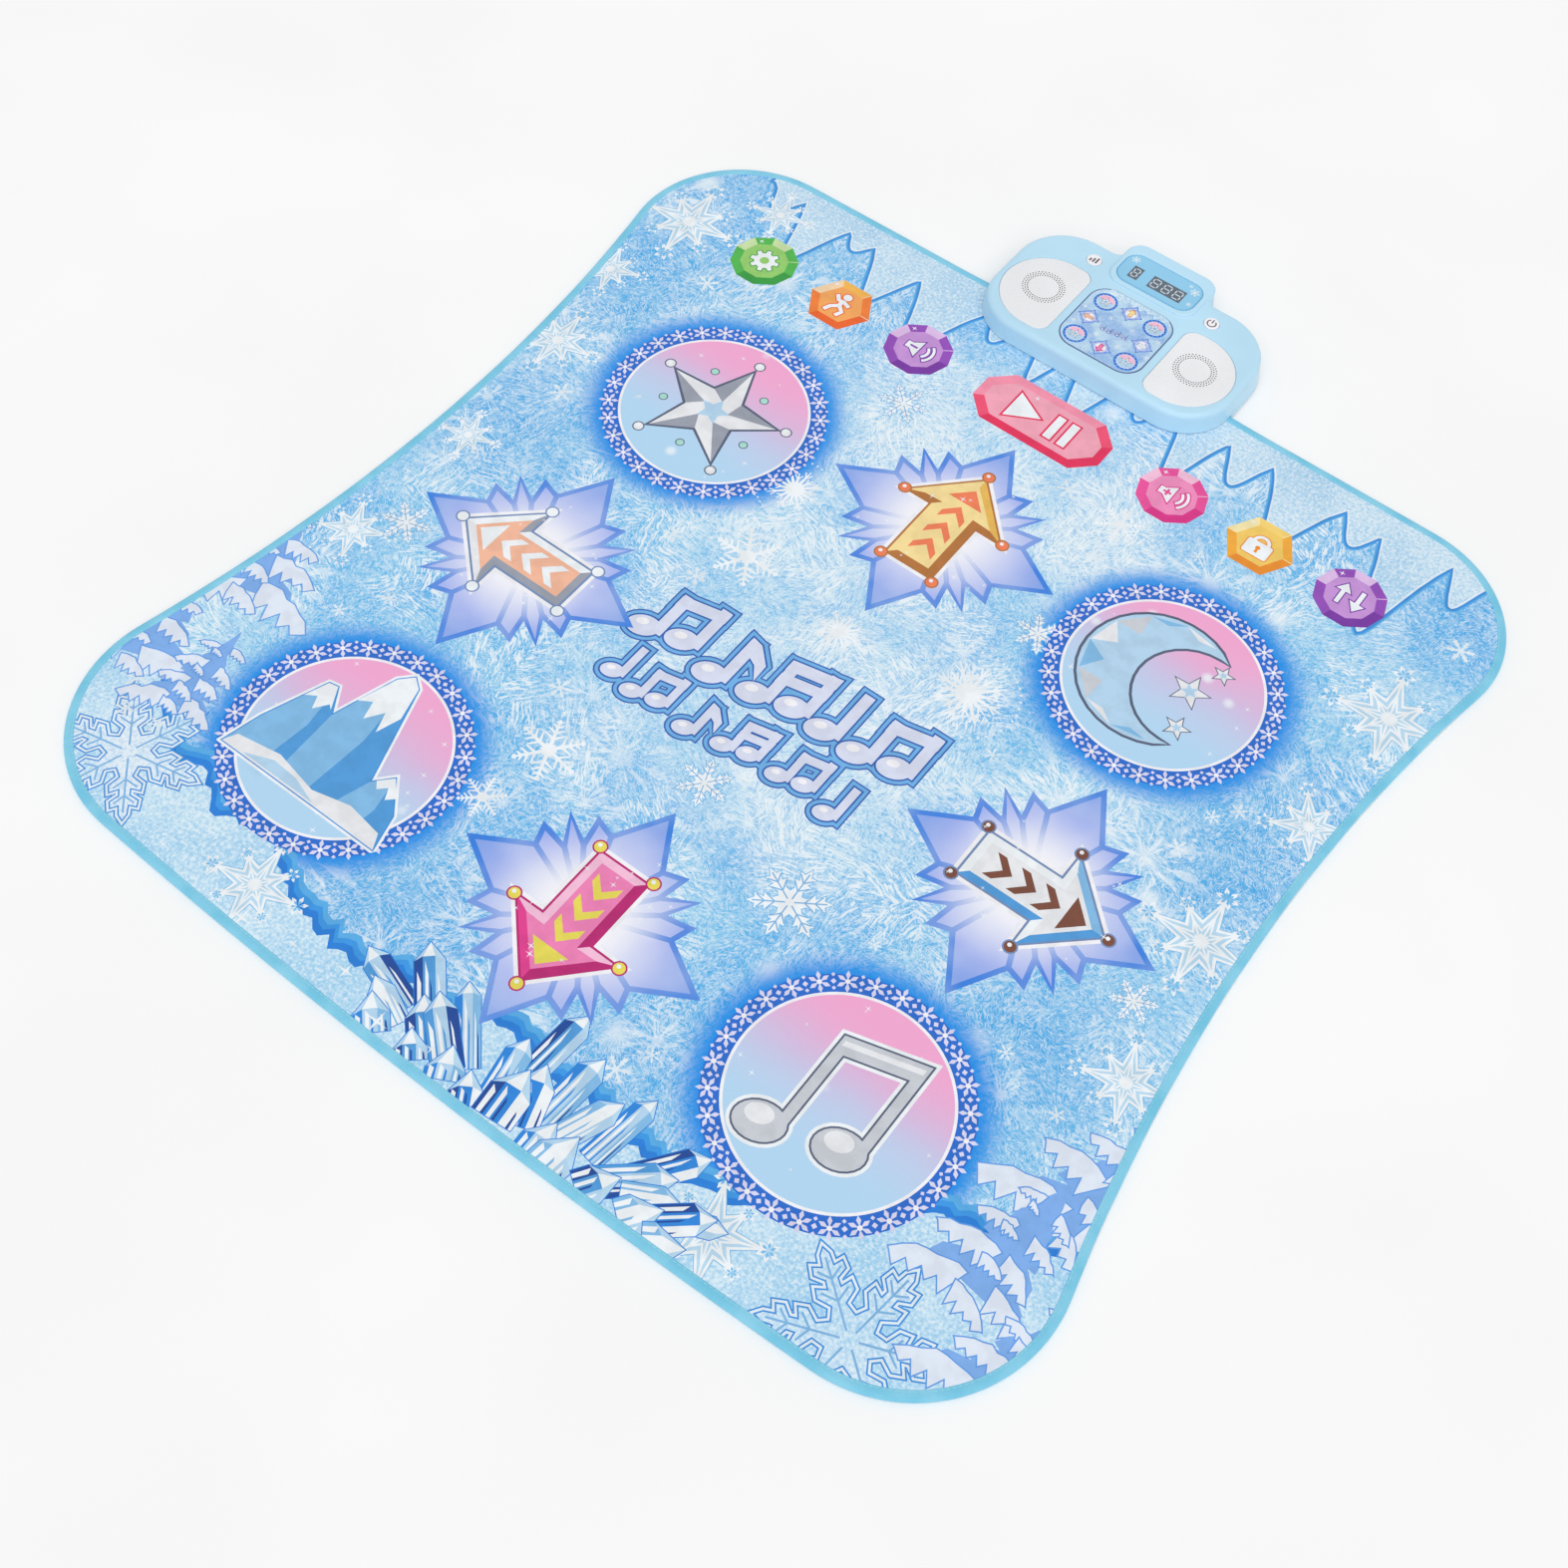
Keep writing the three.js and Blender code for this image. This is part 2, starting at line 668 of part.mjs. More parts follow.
const screwPlaces = [
  { name: 'screw_front_left', x: -screwFrontX, y: boxFront + screw.frontInset, from: boxSeam },
  { name: 'screw_front_right', x: screwFrontX, y: boxFront + screw.frontInset, from: boxSeam },
  { name: 'screw_rear_left', x: -screwRearX, y: screwRearY, from: box.foot },
  { name: 'screw_rear_right', x: screwRearX, y: screwRearY, from: box.foot },
];

function makeUpperShell() {
  const shoulder = boxTop - box.edgeRadius;
  const outer = [
    ...boxRings(boxSeam, boxSeam, 0).slice(0, 1),
    ...roundedRings(boxOutline, boxTop, box.edgeRadius, drawnIn(shoulder)),
  ];
  const podRings = [
    { z: boxCeiling - fit.seat, points: podOutline(0) },
    ...roundedRings(podOutline, podTop, pod.edgeRadius, 0),
  ];
  let shell = joined(solid(loft(outer)), loft(podRings));
  const podInside = podOutline(pod.wall);
  shell = cut(
    shell,
    loft(boxRings(boxSeam - fit.overrun, boxCeiling, box.wall)),
    prism(podInside, boxCeiling - fit.overrun, podTop - pane.thickness - 2 * fit.seat),
  );
  screwPlaces.forEach((place) => {
    const boreTop = place.from + screw.reach + fit.overrun;
    shell = joined(shell, rod(place.x, place.y, screw.bossRadius, plateTop + fit.gap, boxCeiling + fit.seat));
    shell = cut(shell, rod(place.x, place.y, screw.radius + fit.gap, plateTop, boreTop));
  });
  [-1, 1].forEach((side) => {
    const above = boxTop + fit.overrun;
    const recess = prism(coverOutline(side, fit.gap), boxTop - row.thickness - fit.seat, above);
    const below = boxCeiling - fit.overrun;
    const throat = rod(side * soundX, soundY, speaker.hole, below, above, steps.lathe);
    const press = rod(side * buttonX, buttonY, button.radius + fit.gap, below, above);
    shell = cut(shell, recess, throat, press);
  });
  return cut(
    shell,
    prism(panelOutline(fit.gap), boxTop - panel.thickness - fit.seat, boxTop + fit.overrun),
    prism(paneOutline(fit.gap), podTop - pane.thickness - fit.seat, podTop + fit.overrun),
    prism(paneOutline(-pane.ledge), boxCeiling, podTop + fit.overrun),
  );
}

// Slot for the battery door: narrow below, wide at its tongues, open to the rear
function doorSlot() {
  const half = trayHalfWidth + door.margin;
  const front = trayY - trayHalfDepth - tray.wall;
  const behind = headRear + fit.overrun;
  const groove = doorTop - door.tongueThickness - fit.gap;
  const narrow = half + fit.gap;
  const wide = narrow + door.tongue;
  return [
    slab(-narrow, narrow, front, behind, box.foot - fit.overrun, doorTop + fit.gap),
    slab(-wide, wide, front, behind, groove, doorTop + fit.gap),
    slab(-trayHalfWidth, trayHalfWidth, trayY - trayHalfDepth, trayY + trayHalfDepth, doorTop, trayCeiling),
  ];
}

function makeLowerShell() {
  const inside = box.wall + fit.gap;
  const bare = inside + box.lip;
  const past = box.halfWidth + fit.overrun;
  const rearHalf = slab(-past, past, edgeY, headRear + fit.overrun, level.floor, boxTop);
  const hollowRear = slab(-box.halfWidth, box.halfWidth, edgeY + box.wall, headRear, baseTop, boxTop);
  const tub = solid(loft(boxRings(box.foot, boxSeam, 0))).intersect(solid(rearHalf));
  const lip = solid(loft(boxRings(boxSeam, plateTop, inside)));
  const linked = solid(loft(boxRings(baseTop, boxSeam, inside))).intersect(solid(rearHalf));
  const hollow = solid(loft(boxRings(baseTop, plateTop + fit.overrun, bare))).intersect(solid(hollowRear));
  let shell = tub.add(lip).add(linked).subtract(hollow);
  const wide = trayHalfWidth + tray.wall;
  shell = joined(shell, slab(-wide, wide, trayY - trayHalfDepth - tray.wall, trayRear, baseTop - fit.seat,
    trayCeiling + tray.wall));
  const rearPost = baseTop - fit.seat;
  const posts = [-1, 1].flatMap((side) => [
    rod(side * (mainBoard.halfWidth - board.postInset), mainBoardFront + board.postInset, board.postRadius,
      plateTop - fit.seat, mainBoardZ),
    rod(side * (mainBoard.halfWidth - board.postInset), mainBoardFront + mainBoard.depth - board.postInset,
      board.postRadius, rearPost, mainBoardZ),
    rod(side * (controlHalfWidth - board.postInset), boxRear - (control.front + control.rear) / 2,
      board.postRadius, rearPost, controlZ),
    rod(side * screwRearX, screwRearY, screw.bossRadius, rearPost, plateTop),
  ]);
  shell = joined(shell, ...posts);
  screwPlaces.forEach((place) => {
    const below = place.from - fit.overrun;
    shell = cut(
      shell,
      rod(place.x, place.y, screw.radius + fit.gap, below, plateTop + fit.overrun),
      rod(place.x, place.y, screw.headRadius + fit.gap, below, place.from + screw.head + fit.gap),
    );
  });
  const studs = studPlaces.map((x) => rod(x, clampY, clamp.studRadius + fit.gap, boxSeam - fit.overrun,
    plateTop + fit.overrun, steps.tiny));
  const riser = prism(tailHole(tailY, tailY + tail.thickness), boxSeam - fit.overrun, plateTop + fit.overrun);
  const feet = [-1, 1].map((side) => rod(side * footX, boxRear - foot.setback, foot.radius + fit.gap,
    box.foot - fit.overrun, box.foot + foot.sink + fit.seat));
  return cut(shell, ...studs, riser, ...feet, ...doorSlot());
}

function makeInserts() {
  [-1, 1].forEach((side) => {
    const name = side < 0 ? 'left' : 'right';
    const holes = Array.from({ length: sound.holes }, (_, i) => {
      const angle = (turn * i) / sound.holes;
      return circle(side * soundX + sound.ringRadius * Math.cos(angle),
        soundY + sound.ringRadius * Math.sin(angle), sound.holeRadius, steps.tiny);
    });
    const plate = prism(coverOutline(side, 0), boxTop - row.thickness, boxTop, holes);
    add(`speaker_cover_${name}`, plate, 'insert');
  });
  add('picture_panel', prism(panelOutline(0), boxTop - panel.thickness, boxTop), 'picture');
  add('display_window', prism(paneOutline(0), podTop - pane.thickness, podTop), 'pane');
}

function makeSpeakers() {
  const rimTop = boxCeiling - fit.seat;
  const s = speaker;
  const frame = [
    [0, rimTop - s.basket + s.skin],
    [s.magnetRadius - s.rim, rimTop - s.basket + s.skin],
    [s.opening, rimTop - s.skin],
    [s.opening, rimTop],
    [s.radius, rimTop],
    [s.radius, rimTop - s.rim],
    [s.opening + s.rim, rimTop - s.rim],
    [s.magnetRadius, rimTop - s.basket],
    [s.magnetRadius, rimTop - s.depth],
    [0, rimTop - s.depth],
  ];
  const edge = s.opening - s.coneGap;
  const coneTop = rimTop - s.coneRun;
  const hub = s.magnetRadius / 2;
  const waist = coneTop - s.coneDepth + 3 * s.skin;
  const cone = [
    [0, waist],
    [hub, waist - s.coneSkin],
    [edge - s.skin, coneTop],
    [edge, coneTop],
    [edge, coneTop - s.coneSkin],
    [edge - s.skin, coneTop - s.coneSkin],
    [hub, waist - 2 * s.coneSkin],
    [hub, rimTop - s.coneDepth],
    [0, rimTop - s.coneDepth],
  ];
  [-1, 1].forEach((side) => {
    const name = side < 0 ? 'left' : 'right';
    const place = (geometry) => geometry.translate(side * soundX, soundY, 0);
    add(`speaker_frame_${name}`, place(turned([...frame].reverse(), steps.lathe)), 'frame');
    add(`speaker_cone_${name}`, place(turned([...cone].reverse(), steps.lathe)), 'cone');
  });
}

function makeButtons() {
  const top = boxTop + button.proud;
  const flangeTop = boxCeiling - fit.gap;
  const flangeFoot = flangeTop - button.flangeThickness;
  const profile = [
    [0, flangeFoot - button.stem],
    [button.stemRadius, flangeFoot - button.stem],
    [button.stemRadius, flangeFoot],
    [button.radius + button.flange, flangeFoot],
    [button.radius + button.flange, flangeTop],
    [button.radius, flangeTop],
    [button.radius, top - button.round],
    [button.radius - button.round, top - button.round / 4],
    [0, top],
  ];
  const cap = () => turned(profile, steps.lathe);
  add('volume_button', cap().translate(-buttonX, buttonY, 0), 'key');
  add('power_button', cap().translate(buttonX, buttonY, 0), 'key');
}

function makeBoards() {
  const front = boxRear - control.front;
  const rear = boxRear - control.rear;
  const wide = controlHalfWidth;
  const head = box.headHalfWidth - control.headInset;
  const outline = [
    new THREE.Vector2(-wide, front),
    new THREE.Vector2(wide, front),
    new THREE.Vector2(wide, rear),
    new THREE.Vector2(head, rear),
    new THREE.Vector2(head, boxRear + control.headReach),
    new THREE.Vector2(-head, boxRear + control.headReach),
    new THREE.Vector2(-head, rear),
    new THREE.Vector2(-wide, rear),
  ];
  const half = button.switchHalfSide;
  const top = controlTop + button.switchHeight;
  const switches = [-1, 1].map((side) => slab(side * buttonX - half, side * buttonX + half,
    buttonY - half, buttonY + half, controlTop - fit.seat, top));
  add('control_board', joined(solid(prism(outline, controlZ, controlTop)), ...switches), 'board');
  const displayX = paneHalfWidth - display.sideInset;
  const displayY = paneY - display.shift;
  add('display_module', slab(-displayX, displayX, displayY - display.halfDepth,
    displayY + display.halfDepth, controlTop, podTop - pane.thickness - fit.seat), 'digits');
  const boardTop = mainBoardZ + board.thickness;
  const middle = mainBoardFront + mainBoard.depth / 2;
  const chip = mainBoard.chipHalfSide;
  add('main_board', joined(
    solid(slab(-mainBoard.halfWidth, mainBoard.halfWidth, mainBoardFront, mainBoardFront + mainBoard.depth,
      mainBoardZ, boardTop)),
    slab(-chip, chip, middle - chip, middle + chip, boardTop - fit.seat, boardTop + mainBoard.chipHeight),
  ), 'board');
}

// Film tail: lies on the lower film, rises through the mat and turns into its socket
function makeTail() {
  const boardTop = mainBoardZ + board.thickness;
  const t = tail.thickness;
  const high = boardTop + tail.rise;
  const into = mainBoardFront + tail.reach;
  const path = [
    [tailY - tail.lead, level.spacer],
    [tailY + t, level.spacer],
    [tailY + t, high],
    [into, high],
    [into, high + t],
    [tailY, high + t],
    [tailY, level.spacer + t],
    [tailY - tail.lead, level.spacer + t],
  ].map(([y, z]) => new THREE.Vector2(y, z));
  const strip = prism(path, -tail.halfWidth, tail.halfWidth);
  const upright = new THREE.Matrix4().makeBasis(new THREE.Vector3(0, 1, 0), new THREE.Vector3(0, 0, 1),
    new THREE.Vector3(1, 0, 0));
  add('film_tail', strip.applyMatrix4(upright), 'film');
  const front = mainBoardFront + fit.gap;
  const mouth = tail.halfWidth + fit.gap;
  const wide = socket.halfWidth;
  add('tail_socket', cut(
    solid(slab(-wide, wide, front, front + socket.depth, boardTop, boardTop + socket.height)),
    slab(-mouth, mouth, front - fit.overrun, into + fit.gap, high - fit.gap, high + t + fit.gap),
  ), 'insert');
}

function makeClamp() {
  const studs = studPlaces.map((x) => rod(x, clampY, clamp.studRadius, level.lowerFilm - fit.seat,
    plateTop - fit.seat, steps.tiny));
  const bar = slab(-clampHalfLength, clampHalfLength, clampY - clamp.halfDepth, clampY + clamp.halfDepth,
    level.baseFoam, level.lowerFilm);
  add('clamp_bar', joined(solid(bar), ...studs), 'shell');
}

function makeBatteries() {
  const half = cell.length / 2;
  const profile = [
    [0, -half],
    [cell.radius, -half],
    [cell.radius, half],
    [cell.nubRadius, half],
    [cell.nubRadius, half + cell.nub],
    [0, half + cell.nub],
  ];
  for (let i = 0; i < cell.count; i += 1) {
    const way = i % 2 === 0 ? 1 : -1;
    const y = trayY + (i - (cell.count - 1) / 2) * cell.pitch;
    const body = turned(profile, steps.lathe).rotateY(way * quarter);
    add(`battery_${i + 1}`, body.translate(0, y, cellZ), 'wrap');
  }
  [-1, 1].forEach((side) => {
    const outer = side * (trayHalfWidth - fit.gap / 2);
    const inner = outer - side * tray.plate;
    add(`battery_plate_${side < 0 ? 'left' : 'right'}`, slab(Math.min(inner, outer), Math.max(inner, outer),
      trayY - trayHalfDepth + fit.gap, trayY + trayHalfDepth - fit.gap,
      cellZ - tray.plateHalfHeight, cellZ + tray.plateHalfHeight), 'metal');
  });
}

function makeDoor() {
  const half = trayHalfWidth + door.margin;
  const front = trayY - trayHalfDepth - tray.wall + fit.gap;
  const rear = headRear - fit.gap;
  const tongueFoot = doorTop - door.tongueThickness;
  let plate = joined(
    solid(slab(-half, half, front, rear, box.foot, doorTop)),
    slab(-half - door.tongue, half + door.tongue, front, rear - box.headRadius, tongueFoot, doorTop),
  );
  for (let i = 0; i < door.grips; i += 1) {
    const y = rear - box.headRadius - 2 * i * door.grip;
    const gripTop = box.foot + door.gripDepth;
    plate = cut(plate, slab(-half / 2, half / 2, y - door.grip, y, box.foot - fit.overrun, gripTop));
  }
  add('battery_door', plate, 'shell');
}

function makeFasteners() {
  screwPlaces.forEach((place) => {
    const profile = [
      [0, place.from + fit.seat],
      [screw.headRadius, place.from + fit.seat],
      [screw.headRadius, place.from + screw.head],
      [screw.radius, place.from + screw.head],
      [screw.radius, place.from + screw.reach],
      [0, place.from + screw.reach],
    ];
    add(place.name, turned(profile, steps.small).translate(place.x, place.y, 0), 'metal');
  });
  [-1, 1].forEach((side) => {
    add(`foot_${side < 0 ? 'left' : 'right'}`, rod(side * footX, boxRear - foot.setback, foot.radius,
      level.floor, box.foot + foot.sink, steps.lathe), 'rubber');
  });
}

makeLayers();
makeBinding();
makePads();
add('upper_shell', makeUpperShell(), 'shell');
add('lower_shell', makeLowerShell(), 'shell');
makeInserts();
makeSpeakers();
makeButtons();
makeBoards();
makeTail();
makeClamp();
makeBatteries();
makeDoor();
makeFasteners();

// The origin is under the middle of the whole object
danceMat.position.y = (mat.halfLength - headRear) / 2;

export default danceMat;
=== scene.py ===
"""Looks of an electronic dance mat: printed cloth, sewn edge tape and a plastic sound box.

Sizes are millimetres in the mat's own plan, with x across, y towards the sound box and z up from
the floor; place() turns them into the frame's metres. Angles that aren't named as radians are
degrees. A motif is a list of outlines with their inks, painted in order.
"""

import functools
import math
import random
from types import SimpleNamespace as Sizes

import bmesh
import bpy
from mathutils import Matrix, Vector, geometry, kdtree


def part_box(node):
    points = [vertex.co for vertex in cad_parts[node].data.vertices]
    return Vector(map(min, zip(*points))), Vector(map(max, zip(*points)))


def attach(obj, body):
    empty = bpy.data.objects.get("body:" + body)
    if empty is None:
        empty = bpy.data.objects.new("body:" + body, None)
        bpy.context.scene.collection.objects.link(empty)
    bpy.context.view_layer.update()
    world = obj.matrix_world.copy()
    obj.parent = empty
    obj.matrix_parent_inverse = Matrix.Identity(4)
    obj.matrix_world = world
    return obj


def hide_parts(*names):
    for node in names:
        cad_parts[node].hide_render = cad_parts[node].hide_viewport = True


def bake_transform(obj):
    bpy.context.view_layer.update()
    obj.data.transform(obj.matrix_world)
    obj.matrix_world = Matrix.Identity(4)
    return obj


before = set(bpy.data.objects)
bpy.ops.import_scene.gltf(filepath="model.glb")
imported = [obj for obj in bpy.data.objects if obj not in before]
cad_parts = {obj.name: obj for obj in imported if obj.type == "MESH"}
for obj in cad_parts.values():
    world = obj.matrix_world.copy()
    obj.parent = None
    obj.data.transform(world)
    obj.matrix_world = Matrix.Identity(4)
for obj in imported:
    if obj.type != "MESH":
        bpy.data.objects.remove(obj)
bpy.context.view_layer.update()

MM = 0.001
tape_low, tape_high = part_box("edge_binding")
MAT_MIDDLE = (tape_low.y + tape_high.y) / 2
TURN = 2 * math.pi
QUARTER = math.pi / 2
SIDES = (-1, 1)

# Sizes of the mat and what is printed on it
mat = Sizes(half_length=470.5, far_half=456, near_half=460, waist_half=423.5,
            far_radius=114, near_radius=124, far_bow=2.4, near_bow=8.8)
layer = Sizes(grip=0.5, top=6.0)
tape = Sizes(width=8, seam=6.6, lift=0.22, stitch=3.2, stitch_pitch=4.4, stitch_half=0.32,
             stitch_rise=0.3, stitch_level=5.14)
rows = Sizes(far=174, near=-294, far_star=193, middle=-60, keys=354)
columns = Sizes(far=237.5, near=244, side=256)
disc = Sizes(radius=102, line_out=87, line_in=84.6, halo=128, flowers=28)
star = Sizes(border=4.6, arrow=70)
key = Sizes(radius=33, table=23.4, pitch=90, inner=138, start_x=68, start_y=33, start_cut=20, start_rim=9)

# Sizes of the sound box
box = Sizes(front=413, rear=565.5, head_rear=590.5, half=132, front_radius=53, rear_radius=57,
            head_half=49.5, head_radius=15, neck_radius=8, foot=1.5, seam=6.75, top=27, ceiling=24,
            draft=4, height=25.5, edge=6, wall=2.2)
pod = Sizes(half=46.5, front=526, rear=586.5, radius=15, top=29.5, edge=2, wall=2.2, flare=1.2)
insert = Sizes(row=474, cover_x=74.5, inner_x=52, radius=47, corner=13, top=27, thickness=1.5, gap=0.3)
sound = Sizes(x=82.9, y=477.5, hole=0.68, holes=40, rings=(15.4, 17.7, 20.0), throat=21.5)
panel = Sizes(half=44, radius=20, thickness=1, scale=0.103)
pane = Sizes(half_x=41.5, half_y=20.5, y=551.5, radius=14, thickness=1.5, ledge=2, digits_y=547.5)
button = Sizes(x=65, y=539, radius=7.4, top=27.6, flange=9.2, flange_top=23.7, flange_foot=22.95,
               stem=2.5, stem_foot=22.7)
STEP = 0.25
PAST = 3


def place(x, y, z):
    """A point of the mat's plan, in the frame's metres."""
    return Vector((x * MM, y * MM + MAT_MIDDLE, z * MM))


def tone(red, green, blue, share=1.0):
    """A colour as seen on screen, from 0 to 255, as a share of the shader's own numbers."""
    parts = [c / 255 for c in (red, green, blue)]
    linear = [c / 12.92 if c <= 0.04045 else ((c + 0.055) / 1.055) ** 2.4 for c in parts]
    return (*[c * share for c in linear], 1.0)


# Plan outlines

def arc(x, y, radius, start, end, count):
    """Points of an arc between two angles in radians."""
    angles = [start + (end - start) * i / count for i in range(count + 1)]
    return [(x + radius * math.cos(a), y + radius * math.sin(a)) for a in angles]


def circle(x, y, radius, count=64):
    return arc(x, y, radius, 0, TURN, count)[:-1]


def polar(x, y, pairs):
    """Points from pairs of an angle and a reach."""
    return [(x + r * math.cos(math.radians(a)), y + r * math.sin(math.radians(a))) for a, r in pairs]


def spot(x, y, angle, reach):
    return polar(x, y, [(angle, reach)])[0]


def block(x0, y0, x1, y1):
    return [(x0, y0), (x1, y0), (x1, y1), (x0, y1)]


def oval(radius, count, wide):
    return [(wide * x, y) for x, y in circle(0, 0, radius, count)]


def sides(points):
    """Each point of an outline with the next."""
    return zip(points, points[1:] + points[:1])


def signed_area(points):
    return sum(a[0] * b[1] - b[0] * a[1] for a, b in sides(points)) / 2


def mirrored(half):
    """A right half listed from near to far, closed by its mirror image."""
    whole = half + [(-x, y) for x, y in reversed(half)]
    return [a for a, b in sides(whole) if math.dist(a, b) > 0.01]


def rounded_box(x, y, half_x, half_y, radius, count=12):
    dx, dy = half_x - radius, half_y - radius
    points = []
    for cx, cy, q in ((dx, -dy, -1), (dx, dy, 0), (-dx, dy, 1), (-dx, -dy, 2)):
        points += arc(x + cx, y + cy, radius, q * QUARTER, (q + 1) * QUARTER, count)
    return points


def put(points, x, y, angle=0.0, scale=1.0):
    """Points about the origin, scaled, turned and moved."""
    c, s = math.cos(math.radians(angle)) * scale, math.sin(math.radians(angle)) * scale
    return [(x + c * px - s * py, y + s * px + c * py) for px, py in points]


def grown(points, margin):
    """An outline moved out by a margin, with its corners kept."""
    out = []
    margin *= math.copysign(1, signed_area(points))
    for i, p in enumerate(points):
        before = Vector(p) - Vector(points[i - 1])
        after = Vector(points[(i + 1) % len(points)]) - Vector(p)
        if min(before.length, after.length) < 1e-6:
            continue
        before.normalize()
        after.normalize()
        reach = margin / max(1 + before.dot(after), 0.35)
        out.append((p[0] + (before.y + after.y) * reach, p[1] - (before.x + after.x) * reach))
    return out


def ribbon(points, width, start=1.0, loss=0.0):
    """A stroke along points as one outline, whose width goes from a share at its start to less."""
    left, right = [], []
    for i, p in enumerate(points):
        a, b = Vector(points[max(i - 1, 0)]), Vector(points[min(i + 1, len(points) - 1)])
        way = (b - a).normalized()
        off = Vector((-way.y, way.x)) * width / 2 * (start - loss * i / (len(points) - 1))
        left.append((p[0] + off.x, p[1] + off.y))
        right.append((p[0] - off.x, p[1] - off.y))
    return right + left[::-1]


def bearing(a, b):
    return math.atan2(b.y - a.y, b.x - a.x)


def waist_circle(far, near):
    """The circle outside the mat that touches both corner circles and leaves the waist its width."""
    def need(corner, y):
        lean = mat.waist_half - corner.x
        return ((y - corner.y) ** 2 + lean ** 2 - corner.r ** 2) / (2 * (corner.r - lean))

    low, high = near.y, far.y
    while high - low > 0.001:
        middle = (low + high) / 2
        if need(far, middle) > need(near, middle):
            low = middle
        else:
            high = middle
    radius = need(far, low)
    return Sizes(x=mat.waist_half + radius, y=low, r=radius)


def bow_circle(corner, end):
    """The circle about the mat's middle line that touches a corner circle and the mat's end."""
    rise = abs(end - corner.y)
    radius = (corner.x ** 2 + rise ** 2 - corner.r ** 2) / (2 * (rise - corner.r))
    return Sizes(x=0, y=end - math.copysign(radius, end), r=radius)


def mat_outline(inset, bow=26, corner=26, side=64):
    end = mat.half_length
    far = Sizes(x=mat.far_half - mat.far_radius, y=end - mat.far_radius - mat.far_bow, r=mat.far_radius)
    near = Sizes(x=mat.near_half - mat.near_radius, y=-end + mat.near_radius + mat.near_bow,
                 r=mat.near_radius)
    waist = waist_circle(far, near)
    far_bow, near_bow = bow_circle(far, end), bow_circle(near, -end)
    angles = bearing(near_bow, near), bearing(near, waist), bearing(far, waist), bearing(far_bow, far)
    return mirrored(
        arc(0, near_bow.y, near_bow.r - inset, -QUARTER, angles[0], bow)
        + arc(near.x, near.y, near.r - inset, angles[0], angles[1], corner)
        + arc(waist.x, waist.y, waist.r + inset, angles[1] + math.pi, angles[2] + math.pi, side)
        + arc(far.x, far.y, far.r - inset, angles[2], angles[3], corner)
        + arc(0, far_bow.y, far_bow.r - inset, angles[3], QUARTER, bow)
    )


def box_outline(inset, corner=24, neck=8):
    front_x, rear_x = box.half - box.front_radius, box.half - box.rear_radius
    neck_x, head_x = box.head_half + box.neck_radius, box.head_half - box.head_radius
    return mirrored(
        arc(front_x, box.front + box.front_radius, box.front_radius - inset, -QUARTER, 0, corner)
        + arc(rear_x, box.rear - box.rear_radius, box.rear_radius - inset, 0, QUARTER, corner)
        + arc(neck_x, box.rear + box.neck_radius, box.neck_radius + inset, -QUARTER, -2 * QUARTER, neck)
        + arc(head_x, box.head_rear - box.head_radius, box.head_radius - inset, 0, QUARTER, neck)
    )


def pod_outline(inset):
    half_y = (pod.rear - pod.front) / 2
    return rounded_box(0, pod.front + half_y, pod.half - inset, half_y - inset, pod.radius - inset)


def panel_outline(margin):
    half = panel.half + margin
    return rounded_box(0, insert.row, half, half, panel.radius + margin)


def pane_outline(margin):
    return rounded_box(0, pane.y, pane.half_x + margin, pane.half_y + margin, pane.radius + margin)


def cover_outline(side, margin=0.0):
    inner, corner, reach = insert.inner_x - margin, insert.corner, insert.radius + margin
    points = (
        arc(inner + corner, insert.row - reach + corner, corner, -2 * QUARTER, -QUARTER, 10)
        + arc(insert.cover_x, insert.row, reach, -QUARTER, QUARTER, 40)
        + arc(inner + corner, insert.row + reach - corner, corner, QUARTER, 2 * QUARTER, 10)
    )
    return points if side > 0 else [(-x, y) for x, y in reversed(points)]


def burst_outline(x, y, scale=1.0):
    """Four long tips with three short spikes between each two."""
    quadrant = [(0, 116), (20.8, 75), (31, 89), (38, 66), (45, 93), (52, 66), (59, 89), (69.2, 75)]
    return polar(x, y, [(a + 90 * q, r * scale) for q in range(4) for a, r in quadrant])


def start_outline(inset=0.0):
    w, d, c = key.start_x - inset, key.start_y - inset, key.start_cut - inset * 0.4
    return [(x, y + rows.keys) for x, y in mirrored([(w - c, -d), (w, -d + c), (w, d - c), (w - c, d)])]


PADS = [Sizes(name=name, x=x, y=y, star="_" not in name) for name, x, y in (
    ("far_left", -columns.far, rows.far), ("far_right", columns.far, rows.far),
    ("near_left", -columns.near, rows.near), ("near_right", columns.near, rows.near),
    ("far", 0, rows.far_star), ("near", 0, rows.near),
    ("left", -columns.side, rows.middle), ("right", columns.side, rows.middle),
)]
KEYS = [Sizes(name=name, x=side * key.inner + steps * key.pitch, corners=corners, hue=hue)
        for name, side, steps, corners, hue in (
            ("game", -1, -2, 10, "green"), ("dance", -1, -1, 6, "orange"),
            ("volume_down", -1, 0, 10, "purple"), ("start", 0, 0, 0, "red"),
            ("volume_up", 1, 0, 10, "pink"), ("lock", 1, 1, 6, "yellow"), ("track", 1, 2, 10, "purple"))]


def pad_outline(pad):
    return burst_outline(pad.x, pad.y) if pad.star else circle(pad.x, pad.y, disc.radius, 96)


def gem_outline(x, corners, radius):
    return polar(x, rows.keys, [(360 * i / corners, radius) for i in range(corners)])


def key_outline(one):
    return gem_outline(one.x, one.corners, key.radius) if one.corners else start_outline()


# Materials

